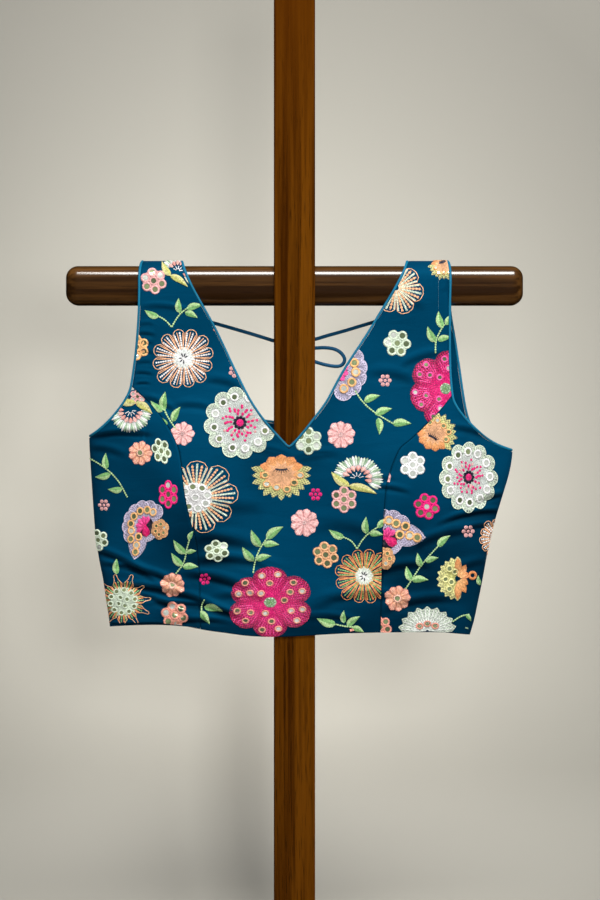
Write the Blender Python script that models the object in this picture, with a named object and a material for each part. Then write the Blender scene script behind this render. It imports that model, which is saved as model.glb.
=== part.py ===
"""A sleeveless embroidered blouse hung over the crossbar of a wooden display stand.

The blouse is cut as it is sewn: a centre front with both shoulder straps, two side fronts
joined to it by princess seams, two backs that meet at the centre back, piping round the neck
and the armholes, and a pair of cord ties across the deep back neck, knotted behind the post.
Each cloth piece is a thin wall laid out on one surface of the garment, so that neighbours
meet at their seams. Lengths are in millimetres; the frame stands on the floor at its middle.
Left and right are as seen from the front, which faces -Y.
"""
import math

import bpy
from mathutils import Vector

MM = 0.001

# Wooden stand
BASE_WIDTH = 300.0
BASE_DEPTH = 280.0
BASE_HEIGHT = 24.0
POST_WIDTH = 41.0
POST_DEPTH = 44.0
POST_TOP = 972.0
BAR_LENGTH = 456.0
BAR_HEIGHT = 39.0
BAR_DEPTH = 36.0
BAR_EDGE = 12.0
BAR_AXIS = 669.0
WOOD_EDGE = 2.5
TOUCH_GAP = 0.3

# Cloth
HEM_LEVEL = 323.0
CLOTH = 1.6
CLOTH_CLEARANCE = 0.4
SEAM_HALF_GAP = 0.22
SIDE_HALF_GAP = 0.7
PIPING_RADIUS = 1.1
PIPING_LIFT = 0.3
PIPING_NEAREST = 1.6
V_MITRE = 1.35
TIP_RISE = 1.9
TIP_HALF = 1.2
STEEP = 0.6
SIDE_ROUNDNESS = 2.7
SADDLE_ARCH = 3.6

# Cord ties
CORD_RADIUS = 1.8
CORD_STEP = 7.5
KNOT_CENTRE = (0.0, 28.0, 285.0)
KNOT_RADII = (9.0, 5.6, 7.5)
KNOT_GAP = 0.3
KNOT_LEAD = 3.6
END_KNOT_RADIUS = 4.2

# Heights below are above HEM_LEVEL. Past SADDLE_START a height is the length of the path that
# the strap takes over the bar, and it ends at the shoulder seam on top of the bar.
BODY_DEPTH = POST_DEPTH / 2 + CLOTH_CLEARANCE + CLOTH / 2
STRAP_DEPTH = BAR_DEPTH / 2 + CLOTH_CLEARANCE + CLOTH / 2
SADDLE_RADIUS = BAR_EDGE + CLOTH_CLEARANCE + CLOTH / 2
SADDLE_START = BAR_AXIS + BAR_HEIGHT / 2 - BAR_EDGE - HEM_LEVEL
SADDLE_ARC = SADDLE_RADIUS * math.pi / 2
SADDLE_FLAT = BAR_DEPTH / 2 - BAR_EDGE
SHOULDER = SADDLE_START + SADDLE_ARC + SADDLE_FLAT
STRAP_TAKES_OVER = (250.0, 318.0)

# columns: height, x of the cloth's edge
FRONT_NECK_LEFT = (
    (183.0, -5.3), (186.0, -9.2), (192.0, -14.8), (201.5, -23.5), (208.0, -29.4),
    (216.8, -36.0), (226.0, -42.4), (239.0, -49.6), (259.7, -60.0), (285.6, -72.0),
    (309.7, -84.0), (327.0, -94.0), (SADDLE_START, -107.8), (366.0, -112.0), (SHOULDER, -114.5),
)
FRONT_NECK_RIGHT = (
    (183.0, -5.3), (186.0, -1.6), (191.8, 4.1), (198.0, 9.3), (204.0, 14.3),
    (210.7, 19.3), (217.3, 24.5), (227.0, 31.8), (249.4, 43.8), (270.0, 55.8),
    (287.3, 67.8), (309.7, 81.6), (332.0, 95.2), (SADDLE_START, 107.4), (366.0, 112.2), (SHOULDER, 114.5),
)
FRONT_ARM_LEFT = (
    (194.0, -203.3), (203.0, -191.3), (213.0, -181.0), (223.6, -172.4), (234.0, -165.2),
    (246.0, -161.0), (261.5, -158.6), (280.4, -156.0), (299.3, -154.5), (325.0, -153.0),
    (SADDLE_START, -152.8), (366.0, -152.0), (SHOULDER, -150.5),
)
FRONT_ARM_RIGHT = (
    (180.0, 216.0), (183.0, 208.5), (189.0, 195.6), (198.0, 183.6), (211.5, 169.8),
    (222.0, 161.2), (232.0, 156.4), (253.0, 153.8), (279.0, 153.0), (325.0, 153.0),
    (SADDLE_START, 153.6), (366.0, 153.0), (SHOULDER, 151.5),
)
BACK_ARM_LEFT = ((264.0, -154.6), (280.0, -153.2), (326.0, -150.8), (SADDLE_START, -151.6), (SHOULDER, -150.5))
BACK_ARM_RIGHT = (
    (264.0, 164.4), (279.0, 162.0), (310.0, 157.0), (326.0, 154.6), (SADDLE_START, 153.2), (SHOULDER, 151.5),
)
# columns: x, height
BACK_ARM_LOW_LEFT = (
    (-204.4, 194.0), (-188.4, 203.0), (-177.4, 213.0), (-168.6, 223.0), (-161.6, 234.0),
    (-157.5, 246.0), (-154.6, 264.0),
)
BACK_ARM_LOW_RIGHT = (
    (217.2, 180.0), (206.5, 183.0), (192.0, 189.0), (181.4, 198.0), (173.2, 210.0),
    (171.0, 220.0), (167.0, 244.0), (164.4, 264.0),
)
BACK_NECK_LOW = (
    (0.0, 207.6), (14.0, 208.2), (30.0, 210.0), (48.0, 214.0), (66.0, 222.0), (82.0, 235.0),
    (92.5, 250.0), (98.6, 264.0),
)
BACK_NECK = (
    (264.0, 98.6), (280.0, 103.6), (300.0, 106.8), (330.0, 109.4), (SADDLE_START, 111.4), (SHOULDER, 114.5),
)
SIDE_LEFT = (
    (0.0, -184.2), (9.0, -185.0), (30.0, -188.2), (51.0, -190.9), (71.0, -194.7), (98.0, -198.5),
    (122.0, -200.3), (146.0, -201.9), (173.0, -203.6), (194.0, -204.6), (240.0, -204.6),
)
SIDE_RIGHT = (
    (-4.0, 173.4), (14.0, 179.0), (29.0, 182.2), (49.4, 186.6), (73.0, 191.0), (96.4, 195.6),
    (117.0, 201.4), (140.4, 208.6), (164.0, 215.4), (180.0, 217.4), (240.0, 217.4),
)
PRINCESS_LEFT = (
    (-4.0, -93.5), (46.0, -94.0), (70.0, -95.2), (92.0, -97.6), (107.0, -101.4), (127.0, -106.4),
    (152.0, -110.4), (169.0, -112.2), (179.0, -113.8), (191.0, -117.8), (204.0, -124.6),
    (218.0, -134.4), (230.0, -145.2), (237.0, -152.6), (244.5, -161.3),
)
PRINCESS_RIGHT = (
    (-4.0, 85.3), (30.0, 85.8), (70.0, 86.6), (120.0, 88.6), (142.0, 90.2), (154.0, 92.6),
    (169.0, 97.6), (184.5, 105.2), (192.5, 115.4), (207.0, 130.4), (224.5, 147.0), (236.0, 155.9),
)
# columns: x, height of the hem
FRONT_HEM = (
    (-186.0, 9.0), (-135.0, 10.7), (-119.0, 9.0), (-103.0, 6.5), (-87.0, 3.0), (-71.0, 1.0),
    (-47.0, -2.4), (-23.0, -3.5), (8.5, -2.4), (57.0, 0.3), (108.0, 1.0), (137.0, 1.0), (174.0, -2.2),
)
HEM_FADES_BY = 90.0

# The largest folds of the front: a name, the middle, the angle that the crest runs at,
# its length, the width across it, and how far it stands out (or sinks in, below zero).
FRONT_FOLDS = (
    ("under the left arm", -168.0, 190.0, 4.0, 66.0, 8.0, -3.6),
    ("above it", -166.0, 205.0, 14.0, 60.0, 8.0, 3.6),
    ("left waist, upper", -170.0, 70.0, -28.0, 84.0, 11.0, -4.4),
    ("left waist, between", -150.0, 56.0, -24.0, 90.0, 12.0, 4.6),
    ("left waist, lower", -126.0, 32.0, -16.0, 96.0, 10.0, -4.0),
    ("left hem", -104.0, 17.0, -12.0, 80.0, 12.0, 4.2),
    ("right side, upper", 188.0, 134.0, 12.0, 60.0, 8.0, -3.2),
    ("right side, between", 184.0, 124.0, 10.0, 64.0, 8.0, 3.6),
    ("right side, lower", 174.0, 113.0, 8.0, 74.0, 9.0, -3.4),
    ("right waist", 150.0, 60.0, 12.0, 90.0, 16.0, 3.8),
    ("beside the post, left", -52.0, 60.0, -6.0, 70.0, 13.0, 3.6),
    ("beside the post, right", 56.0, 40.0, 4.0, 80.0, 14.0, 3.2),
    ("left strap", -130.0, 318.0, -8.0, 36.0, 8.0, -1.4),
)
# The back has its own, at the waist and under the arms.
BACK_FOLDS = (
    ("under the left arm", -168.0, 182.0, 10.0, 62.0, 12.0, -2.6),
    ("under the right arm", 176.0, 168.0, -12.0, 66.0, 12.0, -2.6),
    ("left waist", -120.0, 64.0, -14.0, 96.0, 16.0, 3.2),
    ("right waist", 112.0, 52.0, 10.0, 96.0, 16.0, 3.0),
    ("left hem", -70.0, 24.0, 8.0, 70.0, 14.0, 2.4),
    ("right hem", 62.0, 14.0, -8.0, 70.0, 14.0, 2.4),
)
# columns: x, height, how far each swells, half width and half height
FRONT_SWELLS = ((-98.0, 142.0, 12.5, 56.0, 74.0), (92.0, 140.0, 12.5, 56.0, 74.0))
BACK_SWELLS = ((-84.0, 168.0, 4.0, 60.0, 60.0), (84.0, 168.0, 4.0, 60.0, 60.0))

# Heights of the rows of each cloth piece
BODY_ROWS = (0.0, 9.0, 19.0, 30.0, 42.0, 54.0, 66.0, 79.0, 92.0, 105.0, 118.0, 131.0, 144.0, 157.0, 170.0)
V_ROW = 183.0
CHEST_ROWS = (186.0, 191.0, 197.0, 204.0, 211.0, 219.0, 228.0, 236.0)
STRAP_ROWS = (
    264.0, 278.0, 292.0, 305.0, 318.0, 331.0, 343.0, SADDLE_START, SADDLE_START + 5.0,
    SADDLE_START + 10.0, SADDLE_START + 15.5, SADDLE_START + SADDLE_ARC, SHOULDER - 0.3,
)
UNDERARM_LEFT = 194.0
UNDERARM_RIGHT = 180.0
YOKE_ROWS = 9
CENTRE_COLUMNS = 8
SIDE_COLUMNS = 8
BACK_COLUMNS = 9

# Where each cord leaves the knot, as a direction from its centre
LEAVES_KNOT = {
    "tie_left": (-0.93, 0.0, 0.36),
    "tie_right": (0.86, 0.0, 0.50),
    "loop_out": (0.98, 0.0, -0.20),
    "loop_back": (0.62, 0.2, -0.76),
    "tie_end_left": (-0.55, 0.3, -0.78),
    "tie_end_right": (0.02, 0.42, -0.90),
}
# columns: x, y, height. The routes stop short of the knot, which their last points lead to.
TIE_LEFT = (
    (-105.2, 20.6, 316.6), (-94.0, 21.4, 313.4), (-81.0, 22.4, 309.8), (-66.0, 23.5, 305.6),
    (-50.0, 24.5, 301.0), (-34.0, 25.6, 296.2), (-21.8, 26.6, 292.4),
)
TIE_RIGHT = (
    (105.4, 20.6, 318.2), (94.0, 21.4, 315.0), (80.2, 22.4, 311.0), (66.0, 23.5, 306.8),
    (50.0, 24.5, 302.0), (34.0, 25.6, 297.6), (20.9, 26.8, 293.8),
)
TIE_LOOP = (
    (15.0, 27.6, 284.2), (20.9, 27.0, 284.8), (31.0, 26.4, 285.2), (40.7, 26.2, 283.6), (47.4, 26.3, 279.4),
    (50.6, 26.6, 273.6), (48.6, 27.0, 268.4), (43.3, 27.4, 266.4), (33.0, 27.8, 267.6), (20.9, 28.4, 271.0),
    (11.5, 29.2, 275.0),
)
TIE_END_LEFT = (
    (-6.0, 31.2, 270.0), (-7.0, 31.4, 255.0), (-7.8, 31.4, 235.0), (-8.4, 31.2, 212.0),
    (-9.2, 31.2, 190.0), (-9.6, 31.4, 165.0), (-9.2, 31.4, 140.0), (-8.8, 31.0, 122.0),
)
TIE_END_RIGHT = (
    (1.2, 31.8, 268.0), (3.0, 31.8, 252.0), (5.0, 31.6, 232.0), (6.2, 31.4, 212.0),
    (7.2, 31.4, 192.0), (8.2, 31.4, 172.0), (8.4, 31.2, 150.0),
)

COLOURS = {
    "cloth": ((0.0, 0.055, 0.13, 1.0), 0.6, 0.0),
    "piping": ((0.01, 0.14, 0.32, 1.0), 0.45, 0.0),
    "wood": ((0.055, 0.022, 0.007, 1.0), 0.28, 0.0),
}


def material(name):
    """The Principled material of that name, made once."""
    found = bpy.data.materials.get(name)
    if found:
        return found
    colour, roughness, metallic = COLOURS[name]
    made = bpy.data.materials.new(name)
    made.use_nodes = True
    shader = made.node_tree.nodes["Principled BSDF"]
    shader.inputs["Base Color"].default_value = colour
    shader.inputs["Roughness"].default_value = roughness
    shader.inputs["Metallic"].default_value = metallic
    made.diffuse_color = colour
    return made


def through(table):
    """A smooth curve through a table's rows, as a function that never overshoots them."""
    at = [row[0] for row in table]
    value = [row[1] for row in table]
    slope = [(value[i + 1] - value[i]) / (at[i + 1] - at[i]) for i in range(len(at) - 1)]
    tangent = [slope[0]]
    for before, after in zip(slope, slope[1:]):
        tangent.append(2 * before * after / (before + after) if before * after > 0 else 0.0)
    tangent.append(slope[-1])

    def curve(t):
        t = min(max(t, at[0]), at[-1])
        i = max(k for k in range(len(at) - 1) if at[k] <= t)
        span = at[i + 1] - at[i]
        s = (t - at[i]) / span
        return (
            value[i] * (1 + 2 * s) * (1 - s) ** 2
            + tangent[i] * span * s * (1 - s) ** 2
            + value[i + 1] * s * s * (3 - 2 * s)
            - tangent[i + 1] * span * s * s * (1 - s)
        )

    return curve


front_neck = {-1: through(FRONT_NECK_LEFT), 1: through(FRONT_NECK_RIGHT)}
front_arm = {-1: through(FRONT_ARM_LEFT), 1: through(FRONT_ARM_RIGHT)}
back_arm = {-1: through(BACK_ARM_LEFT), 1: through(BACK_ARM_RIGHT)}
back_neck = through(BACK_NECK)
side = {-1: through(SIDE_LEFT), 1: through(SIDE_RIGHT)}
princess = {-1: through(PRINCESS_LEFT), 1: through(PRINCESS_RIGHT)}
hem = through(FRONT_HEM)
underarm = {-1: UNDERARM_LEFT, 1: UNDERARM_RIGHT}
armpit_join = {-1: PRINCESS_LEFT[-1][0], 1: PRINCESS_RIGHT[-1][0]}
NAMES = {-1: "left", 1: "right"}


def smooth_step(low, high, t):
    """0 below low, 1 above high, and a smooth rise between them."""
    s = min(max((t - low) / (high - low), 0.0), 1.0)
    return s * s * (3 - 2 * s)


def folds(rows, x, height):
    """How far the folds in a table move the cloth out at a place."""
    moved = 0.0
    for _, middle, level, angle, length, width, depth in rows:
        turn = math.radians(angle)
        along = (x - middle) * math.cos(turn) + (height - level) * math.sin(turn)
        across = (height - level) * math.cos(turn) - (x - middle) * math.sin(turn)
        moved += depth * math.exp(-((across / width) ** 2) - (2 * along / length) ** 4)
    return moved


def swells(rows, x, height):
    """How far the shaping over the bust or the shoulder blades moves the cloth out."""
    return sum(
        rise * math.exp(-(((x - middle) / wide) ** 2) - ((height - level) / tall) ** 2)
        for middle, level, rise, wide, tall in rows
    )


def depth_at(x, height, face):
    """How far the cloth's middle lies from the plane of the side seams. face is -1 in front."""
    edge = side[-1 if x < 0 else 1](height)
    across = min(abs(x / edge), 1.0)
    lens = math.sqrt(1 - across**SIDE_ROUNDNESS)
    shaping, creases = (FRONT_SWELLS, FRONT_FOLDS) if face < 0 else (BACK_SWELLS, BACK_FOLDS)
    body = BODY_DEPTH * lens + (swells(shaping, x, height) + folds(creases, x, height)) * lens
    if abs(x) < POST_WIDTH / 2 + 4:
        body = max(body, BODY_DEPTH)
    share = smooth_step(*STRAP_TAKES_OVER, height)
    return body * (1 - share) + (STRAP_DEPTH + folds(creases, x, height) * 0.5) * share


def cloth_point(x, height, face):
    """The middle of the cloth wall, in metres, at a place on the garment. face is -1 in front."""
    if height > SADDLE_START:
        turn = min((height - SADDLE_START) / SADDLE_RADIUS, math.pi / 2)
        slack = height - SADDLE_START - SADDLE_ARC
        y = SADDLE_FLAT + SADDLE_RADIUS * math.cos(turn) - max(slack, 0.0)
        z = SADDLE_START + SADDLE_RADIUS * math.sin(turn)
        reach = min(y / (STRAP_DEPTH - 3), 1.0)
        z += SADDLE_ARCH * (1 - reach**2) ** 2
    else:
        y = depth_at(x, height, face)
        share = 1 - smooth_step(0.0, HEM_FADES_BY, height)
        z = height + hem(x) * share * (1.0 if face < 0 else 0.6)
    return Vector((x, face * y, HEM_LEVEL + z)) * MM


def link(name, data, material_name):
    """An object that holds that data, in the scene and with its material."""
    made = bpy.data.objects.new(name, data)
    data.materials.append(material(material_name))
    bpy.context.scene.collection.objects.link(made)
    return made


def cloth_piece(name, strips, face):
    """One panel: strips of rows of (x, height), joined where their points agree, with a thickness."""
    points, index, faces = [], {}, []
    for rows in strips:
        grid = []
        for row in rows:
            line = []
            for x, height in row:
                key = (round(x, 3), round(height, 3))
                if key not in index:
                    index[key] = len(points)
                    points.append(cloth_point(x, height, face))
                line.append(index[key])
            grid.append(line)
        for low, high in zip(grid, grid[1:]):
            for i in range(len(low) - 1):
                corners = (low[i], low[i + 1], high[i + 1], high[i])
                faces.append(corners if face < 0 else corners[::-1])
    mesh = bpy.data.meshes.new(name)
    mesh.from_pydata(points, [], faces)
    mesh.update()
    mesh.shade_smooth()
    made = link(name, mesh, "cloth")
    wall = made.modifiers.new("wall", "SOLIDIFY")
    wall.thickness = CLOTH * MM
    wall.offset = 0.0
    wall.use_even_offset = False
    return made


def even_row(start, end, columns):
    """Points of one row, evenly spaced from start to end, each an (x, height)."""
    shares = [i / columns for i in range(columns + 1)]
    return [tuple(a + (b - a) * share for a, b in zip(start, end)) for share in shares]


def row_to_side(start, end, columns):
    """Points of one row that crowd towards end, where the cloth turns round the side."""
    shares = [1 - (1 - i / columns) ** 1.8 for i in range(columns + 1)]
    return [tuple(a + (b - a) * share for a, b in zip(start, end)) for share in shares]


def beside(edge, height, offset):
    """The x beside a seam, measured square to it."""
    slope = edge(height + 0.5) - edge(height - 0.5)
    return edge(height) + offset * math.hypot(1.0, slope)


def side_edge(hand, height):
    """The x where the cloth's depth is the half gap of the side seam."""
    lens = SIDE_HALF_GAP / BODY_DEPTH
    return side[hand](height) * (1 - lens**2) ** (1 / SIDE_ROUNDNESS)


def front_heights(hand):
    """The row heights that the pieces on one side of the front share."""
    own = {underarm[hand], armpit_join[hand], armpit_join[hand] - 3.0}
    own |= {level for level in underarm.values() if level < V_ROW}
    return sorted(set(BODY_ROWS + (V_ROW,) + CHEST_ROWS + (252.0,) + STRAP_ROWS) | own)


def centre_rows(hand):
    """Rows of one half of the centre front, from its outer edge to the neck or the middle."""
    rows = []
    for height in front_heights(hand):
        below = height < armpit_join[hand]
        outer = beside(princess[hand], height, -hand * SEAM_HALF_GAP) if below else front_arm[hand](height)
        rows.append(even_row((outer, height), (front_neck[hand](height), height), CENTRE_COLUMNS))
    return rows


def side_rows(hand):
    """Rows of a side front, from its princess seam to the side seam or the armhole."""
    rows = []
    for height in front_heights(hand):
        if height >= armpit_join[hand]:
            break
        inner = beside(princess[hand], height, hand * SEAM_HALF_GAP)
        outer = side_edge(hand, height) if height <= underarm[hand] else front_arm[hand](height)
        rows.append(row_to_side((inner, height), (outer, height), SIDE_COLUMNS))
    return rows


def along(points):
    """A smooth path through (x, height) points, as a function of the share of its length."""
    run = [0.0]
    for a, b in zip(points, points[1:]):
        run.append(run[-1] + math.dist(a, b))
    curves = [through([(r / run[-1], p[axis]) for r, p in zip(run, points)]) for axis in (0, 1)]
    return lambda share: tuple(curve(share) for curve in curves)


def back_rows(hand):
    """Rows of a back, from the centre back or the neck to the side seam or the armhole."""
    levels = [(height, height) for height in BODY_ROWS if height < underarm[hand] - 20]
    last = levels[-1][0]
    levels.append(((last + BACK_NECK_LOW[0][1]) / 2, (last + underarm[hand]) / 2))
    rows = []
    for middle, outside in levels:
        start = (hand * SEAM_HALF_GAP, middle)
        rows.append(row_to_side(start, (side_edge(hand, outside), outside), BACK_COLUMNS))
    outer = along(BACK_ARM_LOW_LEFT if hand < 0 else BACK_ARM_LOW_RIGHT)
    inner = along(BACK_NECK_LOW)
    for i in range(YOKE_ROWS + 1):
        share = i / YOKE_ROWS
        x, height = inner(share)
        start = (max(x, SEAM_HALF_GAP) * hand, height)
        end = outer(share**1.4) if i else (side_edge(hand, underarm[hand]), underarm[hand])
        rows.append(row_to_side(start, end, BACK_COLUMNS))
    for height in STRAP_ROWS[1:]:
        rows.append(even_row((hand * back_neck(height), height), (back_arm[hand](height), height), BACK_COLUMNS))
    return rows


def turned(rows, hand):
    """Rows that run from left to right, whichever side of the garment they are on."""
    return [row[::-1] if hand < 0 else row for row in rows]


def front_centre():
    """The centre front and both straps, from one princess seam to the other."""
    strips = [turned(centre_rows(hand), -hand) for hand in (-1, 1)]
    return cloth_piece("front_centre", strips, -1)


def edge_line(rows, end, face):
    """The middle of the piping beside an edge: end is 0 for the rows' first column, -1 for the last.

    The piping lies in the cloth's own surface, away from the column behind the edge where the
    edge is steep and above the edge where it is not.
    """
    inward = 1 if end == 0 else -2
    places = [cloth_point(*row[end], face) for row in rows]
    inner = [cloth_point(*row[inward], face) for row in rows]
    line = []
    for i, (place, behind) in enumerate(zip(places, inner)):
        run = (places[min(i + 1, len(places) - 1)] - places[max(i - 1, 0)]).normalized()
        sideways = abs(run.z) > STEEP or rows[i][end][1] > SADDLE_START
        away = place - behind if sideways else Vector((0.0, 0.0, 1.0))
        away = (away - run * away.dot(run)).normalized()
        out = away.cross(run)
        if out.y * face < 0 or (abs(out.y) < 0.3 and out.z < 0):
            out = -out
        line.append(place + (away * (PIPING_RADIUS + TOUCH_GAP) + out * PIPING_LIFT) * MM)
    return line


def tube(name, line, radius, material_name, closed=False, rings=1):
    """A round cord along a line of points in metres, with filled ends."""
    curve = bpy.data.curves.new(name, "CURVE")
    curve.dimensions = "3D"
    curve.bevel_depth = radius * MM
    curve.bevel_resolution = rings
    curve.use_fill_caps = not closed
    spline = curve.splines.new("POLY")
    spline.points.add(len(line) - 1)
    for point, place in zip(spline.points, line):
        point.co = (*place, 1.0)
    spline.use_cyclic_u = closed
    return link(name, curve, material_name)


def spread_line(line, step):
    """The same smooth line with its points a step apart, in metres."""
    knots = [0.0]
    for a, b in zip(line, line[1:]):
        knots.append(knots[-1] + (b - a).length)
    curves = [through([(k, p[axis]) for k, p in zip(knots, line)]) for axis in range(3)]
    count = max(2, round(knots[-1] / (step * MM)))
    return [Vector(curve(knots[-1] * i / count) for curve in curves) for i in range(count + 1)]


def neck_piping():
    """The bound neck edge, from the centre back over one shoulder, round the V and back again."""
    lift = Vector((0.0, 0.0, V_MITRE * (PIPING_RADIUS + TOUCH_GAP))) * MM
    tip = cloth_point(front_neck[1](V_ROW), V_ROW, -1) + lift
    halves = {}
    for hand in (-1, 1):
        behind = [row for row in back_rows(hand) if row[0][1] >= BACK_NECK_LOW[0][1] - 0.1]
        ahead = [row for row in centre_rows(hand) if row[0][1] > V_ROW]
        line = edge_line(behind, 0, 1)
        line[0].x = hand * (PIPING_RADIUS + 0.3) * MM
        halves[hand] = line + edge_line(ahead, -1, -1)[::-1]
    line = halves[-1] + [tip] + halves[1][::-1]
    return tube("neck_piping", without_repeats(line), PIPING_RADIUS, "piping")


def armhole_piping(hand):
    """The bound armhole, a ring down the front edge, past the side seam and up the back one."""
    ahead = [row for row in centre_rows(hand) if row[0][1] >= armpit_join[hand]]
    below = [row for row in side_rows(hand) if row[-1][1] >= underarm[hand]]
    behind = [row for row in back_rows(hand) if row[-1][1] >= underarm[hand]]
    front = edge_line(below, -1, -1)[1:] + edge_line(ahead, 0, -1)
    rear = edge_line(behind, -1, 1)[1:]
    tip = (side_edge(hand, underarm[hand]), HEM_LEVEL + underarm[hand] + TIP_RISE)
    corner = [Vector((tip[0], face * TIP_HALF, tip[1])) * MM for face in (-1, 1)]
    line = without_repeats(front[::-1] + corner + rear)
    return tube("armhole_piping_" + NAMES[hand], line, PIPING_RADIUS, "piping", closed=True)


def without_repeats(line):
    """The line without points that nearly coincide with the one before."""
    kept = [line[0]]
    for place in line[1:]:
        if (place - kept[-1]).length > PIPING_NEAREST * MM:
            kept.append(place)
    return kept


def off_knot(name):
    """Two places on a cord that leaves the knot square to its surface, nearest first."""
    direction = Vector(LEAVES_KNOT[name]).normalized()
    reach = 1 / math.sqrt(sum((d / r) ** 2 for d, r in zip(direction, KNOT_RADII)))
    square = Vector(d / r**2 for d, r in zip(direction, KNOT_RADII)).normalized()
    foot = Vector(KNOT_CENTRE) + direction * reach
    return tuple(tuple(foot + square * away) for away in (KNOT_GAP, KNOT_LEAD))


def cord(name, route):
    """A stretch of the tie along its own route, whose first and last steps are kept as given."""
    line = [Vector((x, y, HEM_LEVEL + height)) * MM for x, y, height in route]
    line = line[:1] + spread_line(line[1:-1], CORD_STEP) + line[-1:]
    return tube(name, line, CORD_RADIUS, "cloth", rings=2)


def ball(name, centre, radii, material_name):
    """A rounded knot of cord, at a place given as (x, y, height)."""
    bpy.ops.mesh.primitive_uv_sphere_add(segments=14, ring_count=8, radius=1.0)
    made = bpy.context.object
    made.name = made.data.name = name
    for vertex in made.data.vertices:
        vertex.co = Vector(r * c for r, c in zip(radii, vertex.co)) * MM
    made.location = Vector((centre[0], centre[1], HEM_LEVEL + centre[2])) * MM
    made.data.materials.append(material(material_name))
    made.data.shade_smooth()
    return made


def ties():
    """The cord ties across the back neck: two runs, the loop, the free ends and their knots."""
    cord("tie_left", TIE_LEFT + off_knot("tie_left")[::-1])
    cord("tie_right", TIE_RIGHT + off_knot("tie_right")[::-1])
    cord("tie_loop", off_knot("loop_out") + TIE_LOOP + off_knot("loop_back")[::-1])
    ball("tie_knot", KNOT_CENTRE, KNOT_RADII, "cloth")
    for name, route in (("left", TIE_END_LEFT), ("right", TIE_END_RIGHT)):
        cord("tie_end_" + name, off_knot("tie_end_" + name) + route)
        x, y, height = route[-1]
        drop = END_KNOT_RADIUS + TOUCH_GAP
        ball("tie_end_knot_" + name, (x, y, height - drop), (END_KNOT_RADIUS,) * 3, "cloth")


def eased_block(name, size, centre, edge, segments):
    """A block of wood with rounded edges. Sizes are x, y and z in millimetres."""
    bpy.ops.mesh.primitive_cube_add(size=1.0)
    made = bpy.context.object
    made.name = made.data.name = name
    for vertex in made.data.vertices:
        vertex.co = Vector(side_length * c for side_length, c in zip(size, vertex.co)) * MM
    made.location = Vector(centre) * MM
    made.data.materials.append(material("wood"))
    rounding = made.modifiers.new("rounding", "BEVEL")
    rounding.width = edge * MM
    rounding.segments = segments
    return made


def crossbar(name, grown):
    """The crossbar, or with some growth the cutter for the hole that it passes through."""
    size = (BAR_LENGTH + 2 * grown, BAR_DEPTH + 2 * grown, BAR_HEIGHT + 2 * grown)
    return eased_block(name, size, (0.0, 0.0, BAR_AXIS), BAR_EDGE + grown, 4)


def stand():
    """The base board, the post that stands on it and the crossbar let through the post."""
    eased_block(
        "stand_base", (BASE_WIDTH, BASE_DEPTH, BASE_HEIGHT), (0.0, 0.0, BASE_HEIGHT / 2), WOOD_EDGE * 2, 3
    )
    foot = BASE_HEIGHT + TOUCH_GAP
    tall = POST_TOP - foot
    post = eased_block(
        "stand_post", (POST_WIDTH, POST_DEPTH, tall), (0.0, 0.0, foot + tall / 2), WOOD_EDGE, 2
    )
    crossbar("stand_bar", 0.0)
    cutter = crossbar("mortise_cutter", TOUCH_GAP)
    cutter.hide_render = True
    cutter.display_type = "WIRE"
    hole = post.modifiers.new("mortise", "BOOLEAN")
    hole.operation = "DIFFERENCE"
    hole.object = cutter


def main():
    """Builds the stand and every piece of the blouse."""
    for old in list(bpy.data.objects):
        bpy.data.objects.remove(old)
    stand()
    front_centre()
    for hand in (-1, 1):
        cloth_piece("front_side_" + NAMES[hand], [turned(side_rows(hand), hand)], -1)
        cloth_piece("back_" + NAMES[hand], [turned(back_rows(hand), hand)], 1)
        armhole_piping(hand)
    neck_piping()
    ties()


main()
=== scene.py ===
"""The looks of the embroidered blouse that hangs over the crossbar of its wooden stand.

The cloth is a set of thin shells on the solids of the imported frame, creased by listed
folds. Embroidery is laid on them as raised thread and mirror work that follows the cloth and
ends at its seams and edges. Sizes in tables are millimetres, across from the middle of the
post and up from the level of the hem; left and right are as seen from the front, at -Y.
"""

import logging
import math
import random
from dataclasses import dataclass, field, replace
from enum import Enum

import bmesh
import bpy
import numpy as np
from bpy.types import ID, Material, Mesh, Node, NodeSocket, NodeTree, Object
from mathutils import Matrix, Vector
from mathutils.bvhtree import BVHTree


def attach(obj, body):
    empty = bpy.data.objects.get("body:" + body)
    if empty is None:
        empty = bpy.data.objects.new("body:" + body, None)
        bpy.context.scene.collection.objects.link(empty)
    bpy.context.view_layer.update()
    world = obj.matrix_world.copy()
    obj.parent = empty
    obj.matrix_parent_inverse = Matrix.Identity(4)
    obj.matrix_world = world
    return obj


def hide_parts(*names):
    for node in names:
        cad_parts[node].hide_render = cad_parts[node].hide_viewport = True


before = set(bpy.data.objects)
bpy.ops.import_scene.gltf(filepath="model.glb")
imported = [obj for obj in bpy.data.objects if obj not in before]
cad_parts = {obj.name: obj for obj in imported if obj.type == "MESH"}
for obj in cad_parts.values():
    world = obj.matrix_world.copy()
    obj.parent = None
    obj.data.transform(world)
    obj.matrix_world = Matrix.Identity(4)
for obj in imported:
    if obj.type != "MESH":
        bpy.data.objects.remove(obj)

log = logging.getLogger("blouse")

MM = 0.001
HEM_LEVEL = 323.0
BODY = "root"
Colour = tuple[float, float, float]
Place = tuple[float, float]


class Side(Enum):
    """Which way a panel of the blouse faces, as the sign of its Y."""

    FRONT = -1
    BACK = 1


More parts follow.
